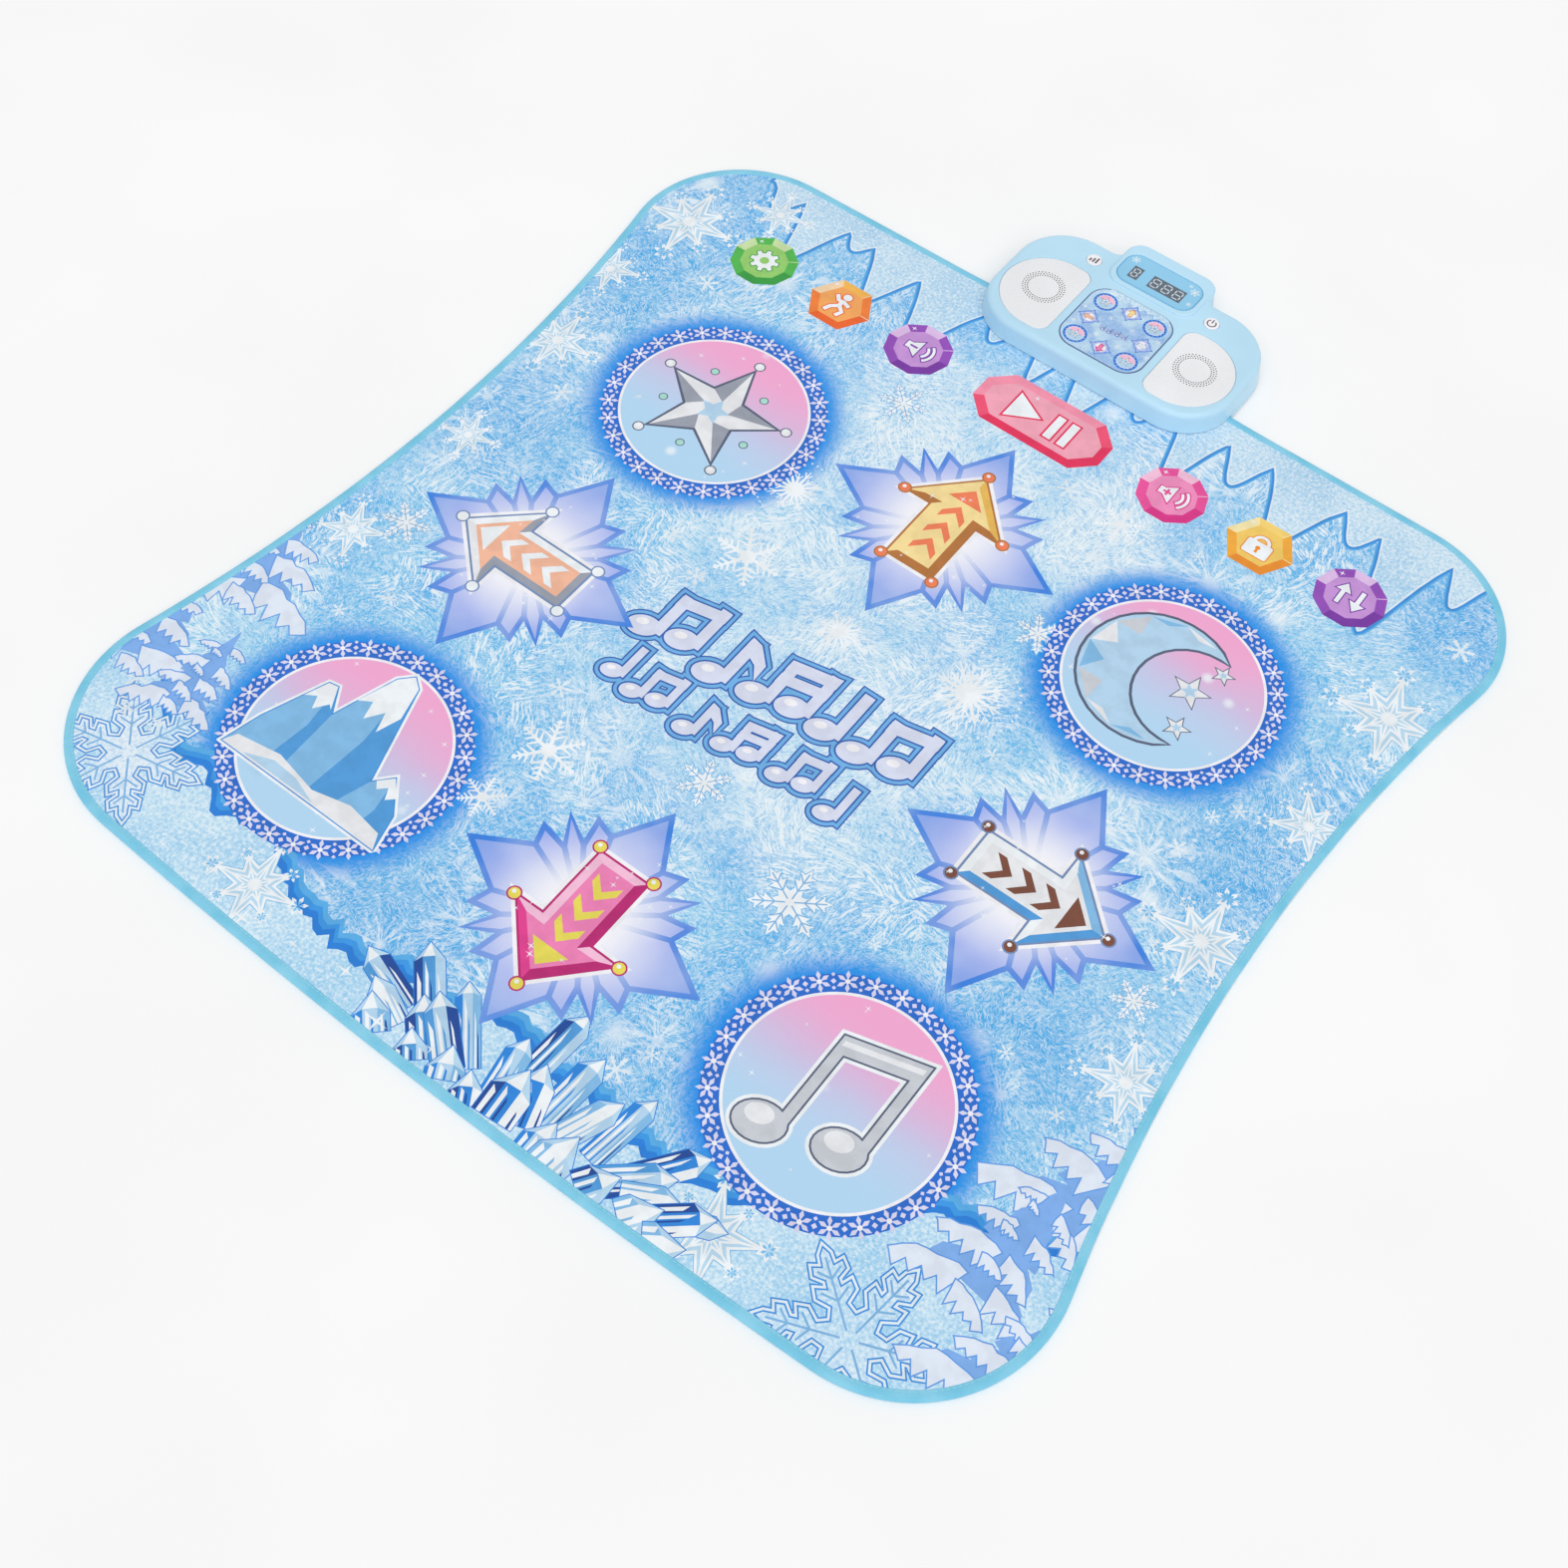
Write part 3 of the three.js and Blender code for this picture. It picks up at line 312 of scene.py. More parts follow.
class Nodes:
    """Short calls for the nodes of one tree."""

    def __init__(self, tree):
        self.tree = tree

    def node(self, kind, inputs=(), **settings):
        made = self.tree.nodes.new("ShaderNode" + kind)
        for name, value in settings.items():
            setattr(made, name, value)
        self.feed(made, dict(inputs))
        return made

    def feed(self, node, values):
        for name, value in values.items():
            if isinstance(value, bpy.types.NodeSocket):
                self.tree.links.new(value, node.inputs[name])
            else:
                node.inputs[name].default_value = value

    def sum(self, operation, a, b):
        return self.node("Math", {0: a, 1: b}, operation=operation).outputs["Value"]

    def times(self, a, b):
        return self.sum("MULTIPLY", a, b)

    def seen(self):
        """One for a ray from the camera, a mirror or glass, and zero for light that falls on things."""
        rays = self.node("LightPath").outputs
        direct = self.sum("MAXIMUM", rays["Is Camera Ray"], rays["Is Glossy Ray"])
        return self.sum("MAXIMUM", direct, rays["Is Transmission Ray"])


class Paint(Nodes):
    """One material, with the looks that several of them share."""

    def __init__(self, name, roughness=0.6, metallic=0.0):
        self.material = bpy.data.materials.new(name)
        self.material.use_nodes = True
        super().__init__(self.material.node_tree)
        self.shader = self.tree.nodes["Principled BSDF"]
        self.set({"Roughness": roughness, "Metallic": metallic})
        self.at = self.node("TexCoord").outputs["Object"]

    def set(self, values):
        self.feed(self.shader, values)

    def noise(self, scale, detail=2.0, at=None, distortion=0.0):
        inputs = {"Vector": at or self.at, "Scale": scale, "Detail": detail, "Distortion": distortion}
        return self.node("TexNoise", inputs).outputs["Fac"]

    def cells(self, scale, at=None, **settings):
        return self.node("TexVoronoi", {"Vector": at or self.at, "Scale": scale}, **settings).outputs

    def spread(self, value, low, high, to_low=0.0, to_high=1.0):
        inputs = {"Value": value, "From Min": low, "From Max": high, "To Min": to_low, "To Max": to_high}
        return self.node("MapRange", inputs, interpolation_type="SMOOTHSTEP").outputs["Result"]

    def vector(self, operation, a, b=(0, 0, 0)):
        made = self.node("VectorMath", {0: a, 1: b}, operation=operation)
        return made.outputs["Value" if operation in ("DISTANCE", "LENGTH") else "Vector"]

    def channel(self, colour, index):
        return self.node("SeparateColor", {0: colour}).outputs[index]

    def along(self):
        return self.node("SeparateXYZ", {0: self.at}).outputs["Y"]

    def near(self, centres, start, end):
        """How near the surface is to the nearest of some centres: 1 inside start, 0 beyond end."""
        reaches = [self.vector("DISTANCE", self.at, tuple(place(x, y, layer.top))) for x, y in centres]
        nearest = functools.reduce(lambda a, b: self.sum("MINIMUM", a, b), reaches)
        return self.spread(nearest, start * MM, end * MM, 1.0, 0.0)

    def mix(self, factor, a, b):
        made = self.node("Mix", data_type="RGBA")
        self.feed(made, {0: factor, 6: a, 7: b})
        return made.outputs[2]

    def layered(self, colour, *layers):
        """A colour under layers of a mask, an ink and, where it isn't the whole mask, its share."""
        for mask, ink, *share in layers:
            colour = self.mix(self.times(mask, *share) if share else mask, colour, ink)
        return colour

    def mottle(self, scale, detail, a, b, low=0.3, high=0.7):
        return self.mix(self.spread(self.noise(scale, detail), low, high), a, b)

    def colour(self, value):
        self.set({"Base Color": value})
        return self.material

    def relief(self, height, strength, distance):
        inputs = {"Height": height, "Strength": strength, "Distance": distance}
        self.set({"Normal": self.node("Bump", inputs).outputs["Normal"]})

    def rough(self, low, high, scale=300.0):
        self.set({"Roughness": self.spread(self.noise(scale), 0.3, 0.7, low, high)})

    def cloth(self, colour):
        """Printed cloth of that colour: a fine plain weave over the slow swell of its foam back."""
        pitch = 1400.0
        threads = [self.node("TexWave", {"Vector": self.at, "Scale": pitch / 6}, bands_direction=way)
                   for way in "XY"]
        weave = self.times(*[thread.outputs["Fac"] for thread in threads])
        self.relief(self.sum("ADD", weave, self.times(self.noise(60.0), 3.0)), 0.12, 0.0004)
        self.set({"Sheen Weight": 0.12, "Sheen Roughness": 0.5, "Specular IOR Level": 0.25})
        return self.colour(colour)


def needles(paint, cell_scale, long_scale, seed, low, high):
    """Frost needles: thin streaks whose direction changes from one crystal patch to the next."""
    moved = paint.vector("ADD", paint.at, (seed, -seed, 0))
    warp = paint.node("TexNoise", {"Vector": moved, "Scale": cell_scale * 2}).outputs["Color"]
    bent = paint.vector("ADD", moved, paint.vector("MULTIPLY", warp, (0.012, 0.012, 0)))
    angle = paint.times(paint.channel(paint.cells(cell_scale, bent)["Color"], 0), TURN)
    turned = paint.node("VectorRotate", {"Vector": bent, "Angle": angle}, rotation_type="Z_AXIS")
    long = paint.vector("MULTIPLY", turned.outputs["Vector"], (1, 6.5, 1))
    return paint.spread(paint.noise(long_scale, 1.5, long, 0.4), low, high)


def frost_flowers(paint, cell_scale, reach, seed):
    """Streaks that run out from a middle in each patch of frost and thin away."""
    moved = paint.vector("ADD", paint.at, (seed, seed, 0))
    patch = paint.cells(cell_scale, moved, voronoi_dimensions="2D")
    away = paint.vector("MULTIPLY", paint.vector("SUBTRACT", moved, patch["Position"]), (1, 1, 0))
    radius = paint.vector("LENGTH", away)
    heading = paint.vector("MULTIPLY", paint.vector("NORMALIZE", away), (5, 5, 0))
    lift = paint.node("CombineXYZ", {"Z": paint.times(radius, 45.0)}).outputs[0]
    streak = paint.spread(paint.noise(1.0, 2.0, paint.vector("ADD", heading, lift)), 0.5, 0.62)
    fade = paint.spread(radius, reach * 0.1, reach, 1.0, 0.0)
    core = paint.spread(radius, reach * 0.05, reach * 0.2, 0.7, 0.0)
    shown = paint.spread(paint.channel(patch["Color"], 2), 0.35, 0.5)
    return paint.times(paint.sum("MAXIMUM", paint.times(streak, fade), core), shown)


def glow_spots(paint, cell_scale, size):
    """Soft round spots of light, one in some of the patches."""
    patch = paint.cells(cell_scale)
    fade = paint.spread(patch["Distance"], 0.0, size, 1.0, 0.0)
    return paint.times(fade, paint.spread(paint.channel(patch["Color"], 1), 0.6, 0.75))


ICE_DEEP, ICE_MID, ICE_PALE = tone(88, 181, 239), tone(130, 203, 242), tone(178, 224, 247)
GLOW_BLUE, DEEP_BLUE, SNOW = tone(12, 142, 234), tone(64, 170, 234), tone(240, 249, 254)
DEEP_SPOTS = [(-400, 400), (400, 420), (-300, -390), (-60, -380), (120, -380), (330, -420), (-380, 60),
              (390, 60), (-400, 230), (320, -170), (-130, -400), (-390, 330)]
MISTY_SPOTS = [(-40, -50), (60, -70), (0, 60), (-60, 270), (90, 270)]


def frost_paint(name):
    """Printed ice: soft mixed grain, bright needles and frost flowers over slow shifts of blue."""
    paint = Paint(name, 0.72)
    slow = paint.noise(6.0, 4.0, distortion=0.8)
    grain = paint.noise(260.0, 3.0, distortion=0.8)
    deep = paint.near(DEEP_SPOTS, 10, 160)
    mist = paint.spread(paint.noise(13.0, 3.0), 0.32, 0.56, 0.35, 1.0)
    where = paint.times(paint.spread(paint.noise(13.0, 2.0), 0.42, 0.58, 0.15, 0.9),
                        paint.spread(deep, 0.0, 1.0, 1.0, 0.45))
    discs_at = [(pad.x, pad.y) for pad in PADS if not pad.star]
    return paint.cloth(paint.layered(
        paint.mix(paint.spread(slow, 0.38, 0.52), ICE_DEEP, ICE_MID),
        (paint.spread(slow, 0.5, 0.64), ICE_PALE, 0.85),
        (deep, DEEP_BLUE, 0.92),
        (paint.spread(paint.along(), place(0, 300, 0).y, place(0, 440, 0).y, 0.0, 0.75), DEEP_BLUE),
        (paint.near(MISTY_SPOTS, 10, 190), tone(220, 239, 249), mist),
        (paint.spread(paint.noise(42.0, 3.0, distortion=1.2), 0.42, 0.62), ICE_PALE, 0.35),
        (paint.spread(grain, 0.5, 0.32), tone(78, 176, 234), 0.36),
        (paint.spread(grain, 0.5, 0.68), SNOW, 0.45),
        (needles(paint, 26.0, 105.0, 8.1, 0.5, 0.6), DEEP_BLUE, 0.5),
        (needles(paint, 22.0, 95.0, 0.0, 0.5, 0.6), SNOW, where),
        (needles(paint, 48.0, 190.0, 3.7, 0.5, 0.6), SNOW, 0.5),
        (frost_flowers(paint, 6.5, 0.075, 1.3), SNOW, 0.85),
        (frost_flowers(paint, 12.0, 0.036, 7.9), SNOW, 0.75),
        (glow_spots(paint, 17.0, 0.3), SNOW, 0.8),
        (paint.near(discs_at, disc.radius - 2, disc.halo), GLOW_BLUE, 0.98)))


def pale_paint(name, low, high):
    """Snow and ice areas: two pale tones under fine grain and crystals."""
    paint = Paint(name, 0.72)
    specks = paint.noise(360.0, 3.0)
    return paint.cloth(paint.layered(
        paint.mottle(14.0, 2.0, tone(*low), tone(*high)),
        (paint.spread(specks, 0.52, 0.36), tone(120, 184, 232), 0.4),
        (paint.spread(specks, 0.5, 0.66), SNOW, 0.6),
        (needles(paint, 70.0, 240.0, 2.2, 0.5, 0.64), SNOW, 0.4)))


def mini_frost_paint(name):
    """The picture panel's small print of frost."""
    paint = Paint(name, 0.35)
    return paint.colour(paint.layered(
        paint.mottle(60.0, 3.0, tone(92, 164, 228), tone(180, 222, 242), 0.36, 0.62),
        (needles(paint, 240.0, 900.0, 1.1, 0.47, 0.58), SNOW, 0.85),
        (needles(paint, 300.0, 1100.0, 4.6, 0.49, 0.6), tone(66, 132, 218), 0.45)))


def ink_paint(name, shade):
    """One printed colour, a little mottled as it is on brushed cloth."""
    paint = Paint(name, 0.7)
    return paint.cloth(paint.mottle(70.0, 3.0, tone(*shade, 0.9), tone(*shade), 0.35, 0.65))


def sky_paint(name, row):
    """The round pads' ground: pink at the far side, pale blue at the near side, with light spots."""
    paint = Paint(name, 0.7)
    swirl = paint.sum("SUBTRACT", paint.times(paint.noise(9.0), 0.05), 0.025)
    height = paint.sum("ADD", paint.along(), swirl)
    middle = place(0, row, 0).y
    dots = paint.cells(30.0)
    return paint.cloth(paint.layered(
        paint.mix(paint.spread(height, middle - 0.055, middle + 0.075), tone(160, 218, 248),
                  tone(246, 172, 214)),
        (paint.spread(height, middle - 0.03, middle + 0.03, 0.35, 0.0), tone(214, 220, 244)),
        (paint.spread(dots["Distance"], 0.05, 0.22, 0.8, 0.0), SNOW,
         paint.spread(paint.channel(dots["Color"], 0), 0.6, 0.65))))


def burst_paint(name, tip, root, glow):
    """A burst's colour, from its tips to its roots, fading into a white glow in its middle."""
    paint = Paint(name, 0.7)
    centres = [(pad.x, pad.y) for pad in PADS if pad.star]
    return paint.cloth(paint.layered(
        paint.mix(paint.near(centres, 62, 108), tone(*tip), tone(*root)),
        (paint.spread(paint.noise(24.0, 2.0), 0.3, 0.7), SNOW, 0.2),
        (paint.near(centres, 22, glow), tone(250, 250, 255))))


def tape_paint(name):
    paint = Paint(name, 0.62)
    paint.relief(paint.noise(900.0, 1.0), 0.35, 0.0003)
    paint.set({"Sheen Weight": 0.2})
    return paint.colour(paint.mottle(40.0, 3.0, tone(112, 197, 228), tone(136, 209, 236)))


def plastic_paint(name, shade, roughness, coat=0.0):
    """Moulded plastic: nearly even, with a fine spark-eroded grain and slow shifts of tone."""
    paint = Paint(name, roughness)
    paint.rough(roughness * 0.85, roughness * 1.2)
    paint.relief(paint.noise(520.0), 0.06, 0.0003)
    paint.set({"Coat Weight": coat})
    return paint.colour(paint.mottle(12.0, 2.0, tone(*shade, 0.93), tone(*shade)))


def metal_paint(name, shade, roughness):
    paint = Paint(name, roughness, 1.0)
    paint.rough(roughness * 0.8, roughness * 1.3, 120.0)
    brushed = paint.noise(60.0, 3.0, paint.vector("MULTIPLY", paint.at, (1, 14, 1)))
    return paint.colour(paint.mix(paint.spread(brushed, 0.3, 0.7), tone(*shade, 0.8), tone(*shade)))


def foam_paint(name, shade, scale=420.0):
    paint = Paint(name, 0.95)
    pores = paint.cells(scale)["Distance"]
    paint.relief(pores, 0.6, 0.0006)
    # The pores' hollows are coloured darker than the foam: painted shade in the pores.
    return paint.colour(paint.mix(paint.spread(pores, 0.1, 0.6), tone(*shade, 0.7), tone(*shade)))


def grip_paint(name):
    """Dark cloth with raised rubber dots."""
    paint = Paint(name, 0.9)
    dots = paint.node("TexVoronoi", {"Vector": paint.at, "Scale": 160.0, "Randomness": 0.0})
    raised = paint.spread(dots.outputs["Distance"], 0.25, 0.35, 1.0, 0.0)
    paint.relief(raised, 0.8, 0.0005)
    return paint.colour(paint.mix(raised, tone(72, 82, 94), tone(104, 114, 126)))


def board_paint(name):
    paint = Paint(name, 0.45)
    tracks = paint.node("TexBrick", {"Vector": paint.at, "Scale": 220.0}).outputs["Fac"]
    paint.relief(tracks, 0.2, 0.0002)
    return paint.colour(paint.mix(tracks, tone(44, 118, 74), tone(86, 158, 104)))


PRINT_INKS = {
    "snow": (246, 251, 255), "lace": (232, 244, 252), "lace_fill": (190, 224, 246),
    "lace_edge": (128, 196, 240), "outline_blue": (62, 148, 226), "ring_blue": (44, 112, 212),
    "glow_blue": (48, 140, 228), "navy": (34, 78, 158), "engraved": (132, 186, 232),
    "bank_far": (92, 178, 238), "bank_mid": (62, 156, 234), "bank_near": (42, 132, 224),
    "tree_snow": (230, 239, 253), "tree_gap": (132, 180, 243),
    "tree_shade": (104, 162, 236), "bead": (226, 224, 250), "line_white": (250, 250, 255),
    "slate": (92, 102, 126), "slate_soft": (120, 146, 190), "silver": (206, 210, 218),
    "silver_light": (238, 240, 244), "silver_dark": (158, 164, 178), "ice_a": (84, 160, 224),
    "ice_b": (134, 192, 236), "ice_c": (184, 218, 244), "gold": (238, 190, 92),
    "gold_light": (252, 226, 158), "gold_dark": (186, 120, 62), "coral": (246, 132, 92),
    "coral_light": (250, 190, 160), "wood": (126, 78, 62), "magenta": (230, 66, 148),
    "magenta_light": (244, 134, 188), "magenta_dark": (190, 40, 118),
    "lemon": (238, 224, 92), "mint": (176, 228, 216), "title": (222, 228, 248), "title_blue": (54, 102, 184),
    # Below, the dark grey for the walls of holes is painted shade inside the holes, not a print.
    "title_band": (116, 182, 236), "band_dark": (62, 104, 186), "hole_shade": (84, 86, 92),
    "burst_mini": (186, 198, 246), "burst_mini_rim": (66, 130, 220),
    "green": (84, 186, 82), "green_dark": (56, 160, 68), "green_light": (206, 230, 172),
    "green_table": (152, 210, 112), "orange": (248, 132, 58), "orange_dark": (242, 104, 44),
    "orange_light": (252, 218, 176), "orange_table": (250, 172, 96), "orange_side": (248, 186, 84),
    "purple": (152, 80, 190), "purple_dark": (126, 58, 168), "purple_light": (230, 196, 240),
    "purple_table": (204, 152, 222), "red": (246, 84, 120), "red_dark": (234, 52, 96),
    "red_light": (252, 150, 176), "red_table": (250, 170, 190), "pink": (240, 84, 160),
    "pink_dark": (226, 54, 142), "pink_light": (252, 196, 224), "pink_table": (246, 146, 196),
    "yellow": (250, 176, 62), "yellow_dark": (242, 148, 46), "yellow_light": (252, 236, 176),
    "yellow_table": (249, 208, 104), "yellow_side": (252, 216, 118),
}
GLOSS_INKS = {
    "window_blue": (140, 206, 242), "window_rim": (112, 192, 236), "digit_ground": (78, 94, 110),
    "digit": (208, 220, 230), "window_snow": (226, 244, 253), "panel_rim": (74, 104, 158),
    "icon": (92, 78, 92), "button_white": (250, 248, 252),
}
# Each paint's maker and what it is called with, the material's name first
PAINTS = {
    "frost": (frost_paint, "frost_print"),
    "icicle": (pale_paint, "icicle_print", (176, 214, 240), (206, 232, 248)),
    "drift": (pale_paint, "drift_print", (164, 214, 244), (204, 234, 250)),
    "hill": (pale_paint, "hill_print", (190, 226, 248), (226, 240, 252)),
    "sky_far": (sky_paint, "sky_far_print", rows.far),
    "sky_near": (sky_paint, "sky_near_print", rows.near),
    "burst_rim": (burst_paint, "burst_rim_print", (56, 130, 226), (86, 138, 228), 76),
    "burst": (burst_paint, "burst_print", (134, 166, 236), (172, 186, 244), 82),
    "mini_frost": (mini_frost_paint, "mini_frost_print"),
    "tape": (tape_paint, "edge_tape"),
    "thread": (ink_paint, "stitch_thread", (168, 226, 240)),
    "grip": (grip_paint, "grip_cloth"),
    "shell": (plastic_paint, "shell_plastic", (190, 231, 253), 0.36, 0.15),
    "white_plastic": (plastic_paint, "white_plastic", (243, 245, 248), 0.3),
    "film": (plastic_paint, "contact_film", (222, 228, 234), 0.22),
    "carbon": (plastic_paint, "carbon_print", (44, 46, 50), 0.7),
    "rubber": (plastic_paint, "foot_rubber", (58, 61, 66), 0.85),
    "wrap": (plastic_paint, "battery_wrap", (78, 112, 160), 0.35),
    "foam": (foam_paint, "foam", (240, 240, 237)),
    "cone": (foam_paint, "speaker_cone", (38, 39, 42), 700.0),
    "board": (board_paint, "circuit_board"),
    "metal": (metal_paint, "plated_steel", (196, 199, 204), 0.32),
    "basket": (metal_paint, "speaker_metal", (74, 76, 80), 0.45),
    **{name: (plastic_paint, name, shade, 0.16, 0.4) for name, shade in GLOSS_INKS.items()},
    **{name: (ink_paint, name, shade) for name, shade in PRINT_INKS.items()},
}


@functools.cache
def paint_for(name):
    """The material of that name, made at its first use."""
    maker, *given = PAINTS[name]
    return maker(*given)


# Meshes

random.seed(7)
WAVES = []
for wave_height, wave_length in ((0.16, 310), (0.13, 230), (0.1, 170), (0.07, 120), (0.04, 70)):
    wave_heading = random.uniform(0, TURN)
    across, forward = math.cos(wave_heading), math.sin(wave_heading)
    WAVES.append((wave_height, across * TURN / wave_length, forward * TURN / wave_length,
                  random.uniform(0, TURN)))


def ripple(x, y):
    """Height of the cloth above its level: slow waves, and two soft folds from storage."""
    high = sum(a * math.sin(x * u + y * v + w) for a, u, v, w in WAVES)
    for x0, depth in ((-232, 0.42), (226, -0.36)):
        side = x - x0 - 5 * math.sin(y / 90)
        high += depth * math.exp(-(side / 9) ** 2) * (0.65 + 0.35 * math.sin(y / 57 + x0))
    return high


def ring(outline, z):
    return [(x, y, z) for x, y in outline]


def walls(rings):
    """Quads between rings of equal counts."""
    count = len(rings[0])
    quads = []
    for start in range(0, (len(rings) - 1) * count, count):
        for i in range(count):
            j = (i + 1) % count
            quads.append([start + i, start + j, start + count + j, start + count + i])
    return quads


def ccw(points, loop):
    return loop if signed_area([points[i] for i in loop]) > 0 else loop[::-1]


def inside(x, y, outline):
    hit = False
    for (ax, ay), (bx, by) in sides(outline):
        if (ay > y) != (by > y) and x < (bx - ax) * (y - ay) / (by - ay) + ax:
            hit = not hit
    return hit


def grid_in(outline, spacing):
    """Staggered points inside an outline, so that its surface can bend."""
    (low_x, high_x), (low_y, high_y) = [(min(line), max(line)) for line in zip(*outline)]
    found = []
    for j in range(int((high_y - low_y) / spacing) + 1):
        y = low_y + (j + 0.5) * spacing
        for i in range(int((high_x - low_x) / spacing) + 1):
            x = low_x + (i + (0.75 if j % 2 else 0.25)) * spacing
            if inside(x, y, outline):
                found.append(Vector((x, y)))
    return found


class Shape:
    """Faces gathered for one piece, in plan millimetres."""

    def __init__(self):
        self.points, self.faces, self.inks = [], [], []

    def add(self, points, faces, ink):
        start = len(self.points)
        self.points += points
        self.faces += [[start + i for i in face] for face in faces]
        self.inks += [ink] * len(faces)

    def loft(self, rings, ink):
        self.add([p for one in rings for p in one], walls(rings), ink)

    def flat(self, outline, ground, height, holes=(), motifs=(), spacing=0.0, up=True):
        """A printed area: each triangle takes the ink of the topmost motif over it."""
        points, loops = [], []
        for loop in [outline, *holes, *[shape for shape, _ in motifs]]:
            loops.append(list(range(len(points), len(points) + len(loop))))
            points += [Vector(p) for p in loop]
        if spacing:
            points += grid_in(outline, spacing)
        made = geometry.delaunay_2d_cdt(points, [], [ccw(points, loop) for loop in loops], 1, 1e-4, True)
        last_hole = len(holes)
        start = len(self.points)
        self.points += [(p.x, p.y, height(p.x, p.y) if callable(height) else height) for p in made[0]]
        for triangle, source in zip(made[2], made[5]):
            if 0 not in source or any(1 <= s <= last_hole for s in source):
                continue
            face = [start + i for i in triangle]
            self.faces.append(face if up else face[::-1])
            top = max(source)
            self.inks.append(motifs[top - last_hole - 1][1] if top > last_hole else ground)

    def make(self, name, body, slot, stands_for=(), sharp=40.0):
        mesh = bpy.data.meshes.new(name)
        mesh.from_pydata([place(*p) for p in self.points], [], self.faces)
        names = sorted(set(self.inks))
        for ink in names:
            mesh.materials.append(paint_for(ink))
        mesh.polygons.foreach_set("material_index", [names.index(ink) for ink in self.inks])
        return finish_piece(name, mesh, body, slot, stands_for, sharp)


def linked(name, data):
    """A new object in the scene."""
    obj = bpy.data.objects.new(name, data)
    bpy.context.scene.collection.objects.link(obj)
    return obj


def finish_piece(name, mesh, body, slot, stands_for, sharp):
    """A mesh with its doubles merged and its shading set, riding on its body."""
    work = bmesh.new()
    work.from_mesh(mesh)
    bmesh.ops.remove_doubles(work, verts=work.verts, dist=0.005 * MM)
    bmesh.ops.delete(work, geom=[v for v in work.verts if not v.link_faces], context="VERTS")
    work.to_mesh(mesh)
    work.free()
    mesh.shade_smooth()
    mesh.set_sharp_from_angle(angle=math.radians(sharp))
    obj = linked(name, mesh)
    if body:
        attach(obj, body)
    if stands_for:
        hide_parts(*stands_for)
    return obj


# Motifs on the whole mat

def armed(arm, x, y, turn, count, ink):
    """The outlines of one arm, repeated round a middle."""
    return [(put(part, x, y, turn + 360 * k / count), ink) for k in range(count) for part in arm]


def discs(x, y, *rings):
    """Discs on one another, each a radius, a count, an ink and a shift to the upper left."""
    return [(circle(x - shift, y + shift, radius, count), ink) for radius, count, ink, shift in rings]


def diamond(x, y, turn, size, ink):
    return (polar(x, y, [(turn + 90 * i, size) for i in range(4)]), ink)


def sparkle(x, y, radius):
    return (polar(x, y, [(45 * i, radius * (0.16 if i % 2 else 1)) for i in range(8)]), "snow")


def star_points(x, y, radius, points=5, inner=0.42, turn=90.0):
    pairs = [(turn + 180 / points * i, radius * (inner if i % 2 else 1)) for i in range(2 * points)]
    return polar(x, y, pairs)


def rosette(x, y, radius, turn, ink="snow"):
    petal = [(radius * 0.12, 0), (radius * 0.62, -radius * 0.2), (radius, 0), (radius * 0.62, radius * 0.2)]
    return armed([petal], x, y, turn, 6, ink)


def flake(x, y, radius, turn, bold, ink="snow"):
    """A snow star with side twigs and, on a large one, a bud on each arm."""
    large = radius > 14
    width = radius * 0.06 * bold
    arm = [ribbon([(0, 0), (radius * 0.93, 0)], width, 1.4, 0.9)]
    for reach, length in ((0.36, 0.3), (0.56, 0.24), (0.74, 0.15)) if large else ((0.45, 0.28), (0.7, 0.18)):
        for side in SIDES:
            tip = (radius * (reach + length * 0.62), side * radius * length)
            arm.append(ribbon([(radius * reach, 0), tip], width * 0.8, 1.1, 0.6))
    if large:
        arm.append([(radius * 0.84, 0), (radius * 0.93, -width), (radius * 1.02, 0), (radius * 0.93, width)])
    hub = [(turn + 30 * i, radius * (0.26 if i % 2 else 0.15)) for i in range(12)]
    return armed(arm, x, y, turn, 6, ink) + [(polar(x, y, hub), ink)]


def lace_star(x, y, radius, turn):
    """An eight-armed star drawn in white lines, with a rib in each arm and a flower at every tip."""
    arms = [(turn + 45 * k, radius * (0.62 if k % 2 else 0.84)) for k in range(8)]

    def spiked(valley, share):
        low = radius * valley
        return polar(x, y, [(angle + 22.5 * (1 - abs(t)) * (1 if t < 0 else -1),
                             low + (reach * share - low) * abs(t) ** 1.7)
                            for angle, reach in arms for t in (0, 0.4, 1, -0.4)])

    rim = spiked(0.35, 1.0)
    shapes = [(grown(rim, 0.7), "lace_edge"), (rim, "snow"), (spiked(0.285, 0.82), "lace_fill"),
              (spiked(0.2, 0.62), "snow"), (spiked(0.15, 0.46), "lace_fill")]
    for angle, reach in arms:
        shapes.append((ribbon(polar(x, y, [(angle, 0), (angle, reach * 0.9)]), radius * 0.032), "snow"))
        tip = spot(x, y, angle, reach)
        flower = radius * (0.19 if reach > radius * 0.7 else 0.14)
        shapes += rosette(*tip, flower, angle + 30)
        if radius > 36:
            shapes += rosette(*tip, flower * 0.62, angle + 30, "lace_edge")
    hub = [(turn + 22.5 * i, radius * (0.15 if i % 2 else 0.08)) for i in range(16)]
    return shapes + [(polar(x, y, hub), "snow")]


def six_armed(x, y, radius, turn, half):
    """A snow crystal's outline from half an arm, as pairs of an angle off its axis and a reach."""
    arm = [(-a, r) for a, r in half] + [(0, 1)] + half[:0:-1]
    return polar(x, y, [(turn + 60 * k + a, radius * r) for k in range(6) for a, r in arm])


